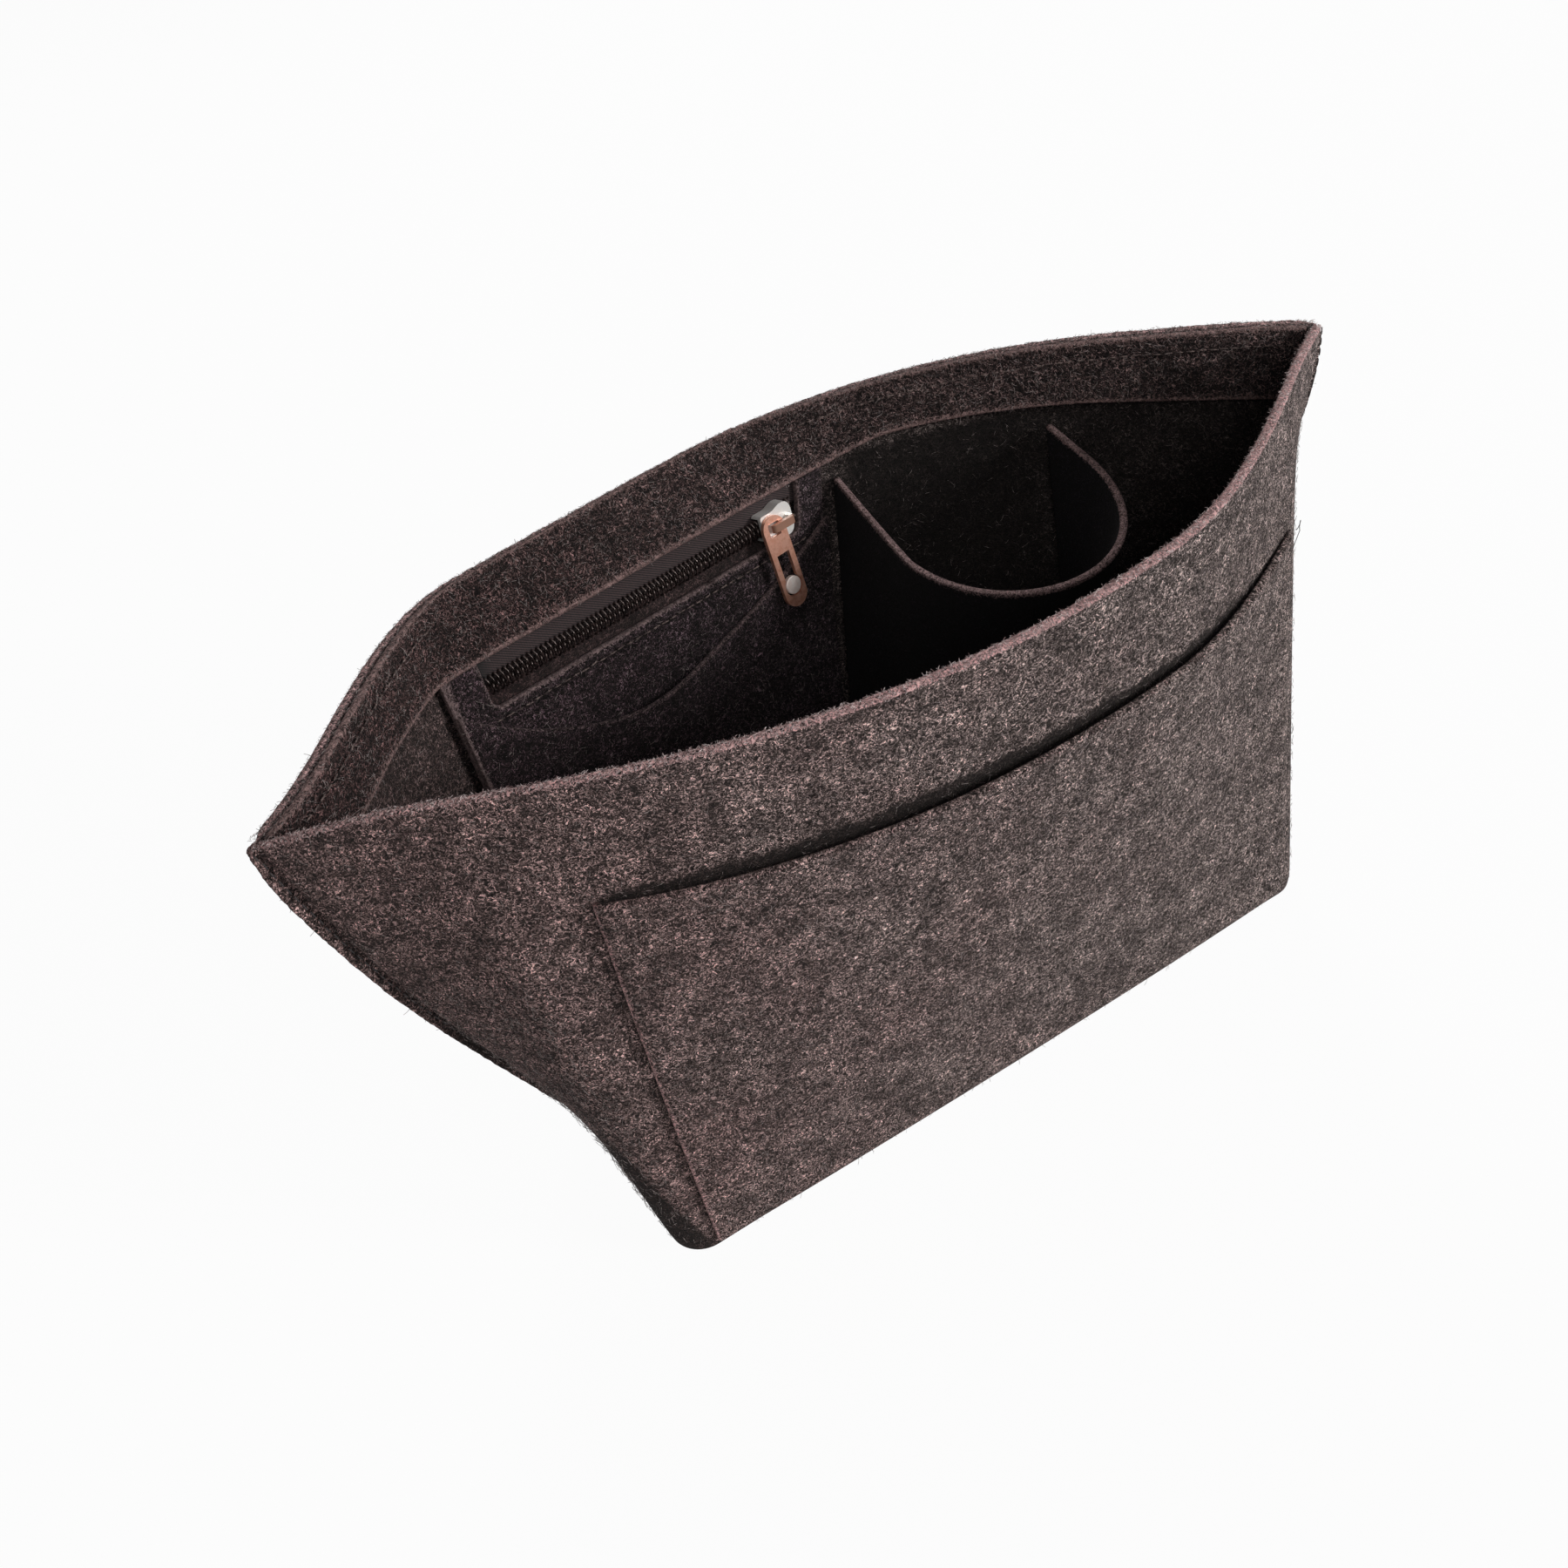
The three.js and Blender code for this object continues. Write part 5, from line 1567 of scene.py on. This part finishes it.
def thread_end(share, height, loop, tail):
    """Loose end of the pocket's sewing thread: a small loop and a tail along the slit."""
    base = inside_wall(share, height, FRONT, -(FELT + POCKET_FELT + 1.2))
    out = -wall_inward(share, height, FRONT)
    along = unit(wall(share + 0.01, height, FRONT) - wall(share - 0.01, height, FRONT))
    up = unit(np.cross(out, along))
    turn = np.linspace(-0.7 * math.pi, 1.35 * math.pi, 40)[:, None]
    ring = base + loop * (along * np.cos(turn) + up * np.sin(turn)) + out * 0.5 * np.sin(turn * 0.5)
    slide = np.linspace(0, 1, 16)[1:, None]
    tail_line = ring[-1] + (along * -tail + up * -tail * 0.85) * slide - out * 0.9 * slide
    return np.concatenate([ring, tail_line])


thread_loop = thread_piece("loose_thread_loop", thread_end(0.728, 114.5, 1.1, 6.0), 0.09, dark_thread)


# Loose fibres

# Lengths in millimetres, sideways lean, and radius as a share of the length
RIM_FIBRES = ((0.3, 0.9), 1.0, 0.06)
SHORT_NAP = ((0.7, 2.0), 1.0, 0.026)
COMBED_NAP = ((1.6, 3.4), 0.3, 0.014)
COMBED_CELLS = np.s_[9:52, 10:96]
FUZZ_LIFT = EDGE_ROUND * FELT - 0.05
SPILLED_SHARE = 0.4
SPILL = 0.25
WOOL = fibre_tree(thread("fibre_wool", (150, 120, 118), (255, 238, 236)))
DARK_WOOL = fibre_tree(thread("fibre_wool_dark", (44, 36, 36), (196, 180, 176)))


def leaning(rng, out, way, lengths_mm, spread, comb):
    """Headings and sizes for fibres that lean at random off a surface."""
    count = len(out)
    sideways = unit(np.cross(out, way))
    lean = way * rng.normal(0, 1, (count, 1)) + sideways * rng.normal(0, comb, (count, 1))
    heading = unit(unit(lean) + out * rng.uniform(-0.1, spread, (count, 1)))
    size = rng.uniform(*lengths_mm, (count, 1)) * MM
    return {"dir": heading, "out": out + lean * 0.05, "size": np.repeat(size, 3, axis=1)}


def rim_fuzz(name, side, count, seed, tree):
    """Fibres that stand off the cut rim of a wall, and some that spill over it."""
    rng = np.random.default_rng(seed)
    share = rng.uniform(-1, 1, count)
    depth = rng.uniform(0 if side == FRONT else -FACING_SEAT - POCKET_FELT, FELT, (count, 1))
    edge = wall(share, np.full(count, float(WALL_HEIGHT)), side)
    inward = wall_inward(share, np.full(count, float(WALL_HEIGHT)), side)
    up = unit(edge - wall(share, np.full(count, WALL_HEIGHT - 4.0), side))
    spill = rng.exponential(SPILL, (count, 1))
    crown = FUZZ_LIFT * np.sqrt(np.maximum(1 - (depth / FELT * 2 - 1) ** 2, 0))
    place = edge - inward * depth + up * np.where(rng.random((count, 1)) < SPILLED_SHARE, -spill, crown)
    lengths_mm, comb, radius = RIM_FIBRES
    points = leaning(rng, up, unit(np.cross(inward, up)), lengths_mm, 1.0, comb)
    return grown(name, tree, {"Fibre Radius": radius, "Bend": 0.4}, points, place)


def nap_on(name, face, count, seed, near=False, kind=SHORT_NAP, cells=None):
    """Fibres that lie on one face of a felt piece, as many to each square millimetre. cells are slices of
    the piece's grid that hold all of them."""
    inner, outer, normals, mask = FACES[face]
    grid, normals = (inner, -normals) if near else (outer, normals)
    corner = grid[:-1, :-1]
    area = np.linalg.norm(np.cross(grid[1:, :-1] - corner, grid[:-1, 1:] - corner), axis=-1) * mask
    if cells:
        inside = np.zeros(area.shape)
        inside[cells] = 1
        area = area * inside
    rng = np.random.default_rng(seed)
    c, r = np.unravel_index(rng.choice(area.size, count, p=area.ravel() / area.sum()), area.shape)
    s, t = rng.random((2, count, 1))
    place = mix(mix(grid[c, r], grid[c + 1, r], s), mix(grid[c, r + 1], grid[c + 1, r + 1], s), t)
    out = normals[c, r]
    lengths_mm, comb, radius = kind
    points = leaning(rng, out, unit(grid[c, r + 1] - grid[c, r]), lengths_mm, 0.12, comb)
    return grown(name, DARK_WOOL, {"Fibre Radius": radius, "Bend": 0.2}, points, place + out * 0.02)


front_fuzz = rim_fuzz("front_rim_fibres", FRONT, 6500, 11, WOOL)
back_fuzz = rim_fuzz("back_rim_fibres", BACK, 9500, 12, DARK_WOOL)
nap = [nap_on("front_nap", "front_wall_felt", 6500, 21),
       nap_on("pocket_nap", "outer_pocket_felt", 5500, 22),
       nap_on("back_nap", "back_wall_felt", 5500, 23),
       nap_on("inner_nap", "back_wall_felt", 4000, 24, near=True),
       nap_on("facing_nap", "facing_felt", 3500, 25),
       nap_on("panel_nap", "zip_panel_felt", 2600, 26),
       nap_on("slip_nap", "slip_pocket_felt", 2200, 27),
       nap_on("combed_nap", "front_wall_felt", 900, 28, kind=COMBED_NAP, cells=COMBED_CELLS)]


# Camera, in metres and degrees

FOCAL_PIXELS = 1859
PICTURE = 1800
SENSOR = 36
CAMERA_PLACE = (-0.1520, -0.2613, 0.3210)
CAMERA_AIM = (38.71, -24.27, 12.0)


def aim(elevation, azimuth, roll):
    """Camera axes from where it looks: down by elevation, turned by azimuth from +Y, rolled to the left."""
    e, a, r = (math.radians(v) for v in (elevation, azimuth, roll))
    forward = Vector((-math.sin(a) * math.cos(e), math.cos(a) * math.cos(e), -math.sin(e)))
    right = forward.cross(Vector((0, 0, 1))).normalized()
    up = right.cross(forward)
    turned_up = up * math.cos(r) + right * math.sin(r)
    return forward, forward.cross(turned_up), turned_up


def add_camera():
    lens = bpy.data.cameras.new("camera")
    lens.sensor_width = SENSOR
    lens.lens = SENSOR * FOCAL_PIXELS / PICTURE
    lens.clip_start = 0.01
    lens.clip_end = 50
    camera = placed("camera", lens)
    look, across, upward = aim(*CAMERA_AIM)
    rows = [[across[i], upward[i], -look[i], CAMERA_PLACE[i]] for i in range(3)]
    camera.matrix_world = Matrix([*rows, [0, 0, 0, 1]])
    bpy.context.scene.camera = camera


add_camera()


# Sky, lights and floor, in metres and watts

WHITE = (1, 1, 1, 1)
SKY_STRENGTH = 0.07
FLOOR_SIZE = 4.0
FLOOR_LEVEL = -0.0003
FLOOR_GLOW = 0.96


def seen_directly(tree):
    """1 for a ray that comes from the camera, or off gloss or through glass, else 0."""
    path = tree.nodes.new("ShaderNodeLightPath").outputs
    seen = larger(tree, path["Is Camera Ray"], path["Is Glossy Ray"])
    return larger(tree, seen, path["Is Transmission Ray"])


def add_sky():
    """White to look at, with a faint light of its own."""
    world = bpy.data.worlds.new("studio")
    bpy.context.scene.world = world
    world.use_nodes = True
    tree = world.node_tree
    tree.nodes.clear()
    links = {0: seen_directly(tree), 2: SKY_STRENGTH, 3: 1.0}
    strength = new_node(tree, "ShaderNodeMix", links, data_type="FLOAT").outputs[0]
    sky = new_node(tree, "ShaderNodeBackground", {"Color": WHITE, "Strength": strength})
    tree.links.new(sky.outputs[0], tree.nodes.new("ShaderNodeOutputWorld").inputs["Surface"])


def area_light(name, place, target, size, power):
    """Round lamp that faces its target."""
    data = bpy.data.lights.new(name, "AREA")
    data.shape = "DISK"
    data.size = size
    data.energy = power
    lamp = placed(name, data)
    lamp.location = place
    lamp.rotation_euler = (Vector(target) - Vector(place)).to_track_quat("-Z", "Y").to_euler()


def floor_white():
    """Grey paper to the lamps, which draws the shadow, and almost white to look at."""
    material = bpy.data.materials.new("floor_white")
    material.use_nodes = True
    tree = material.node_tree
    tree.nodes.clear()
    paint = new_node(tree, "ShaderNodeBsdfDiffuse", {"Color": (0.62, 0.62, 0.62, 1)})
    glow = new_node(tree, "ShaderNodeEmission", {"Color": WHITE, "Strength": 1.0})
    links = {0: times(tree, seen_directly(tree), FLOOR_GLOW), 1: paint.outputs[0], 2: glow.outputs[0]}
    lit = new_node(tree, "ShaderNodeMixShader", links)
    tree.links.new(lit.outputs[0], tree.nodes.new("ShaderNodeOutputMaterial").inputs["Surface"])
    return material


def add_floor():
    square = ((-1, -1), (1, -1), (1, 1), (-1, 1))
    corners = [(x * FLOOR_SIZE, y * FLOOR_SIZE, FLOOR_LEVEL) for x, y in square]
    mesh = bpy.data.meshes.new("floor")
    mesh.from_pydata(corners, [], [(0, 1, 2, 3)])
    mesh.materials.append(floor_white())
    placed("floor", mesh)


add_sky()
area_light("key", (1.1, -1.2, 0.68), (0, 0, 0.08), 0.45, 20)
area_light("fill", (-0.45, -1.1, 0.95), (0, 0, 0.08), 0.5, 3.4)
area_light("rim", (0.6, 1.2, 1.1), (0, -0.02, 0.1), 0.6, 10)
area_light("low", (0.1, -1.5, 0.3), (0, 0, 0.06), 0.6, 3)
add_floor()
bpy.context.scene.view_settings.view_transform = "Standard"
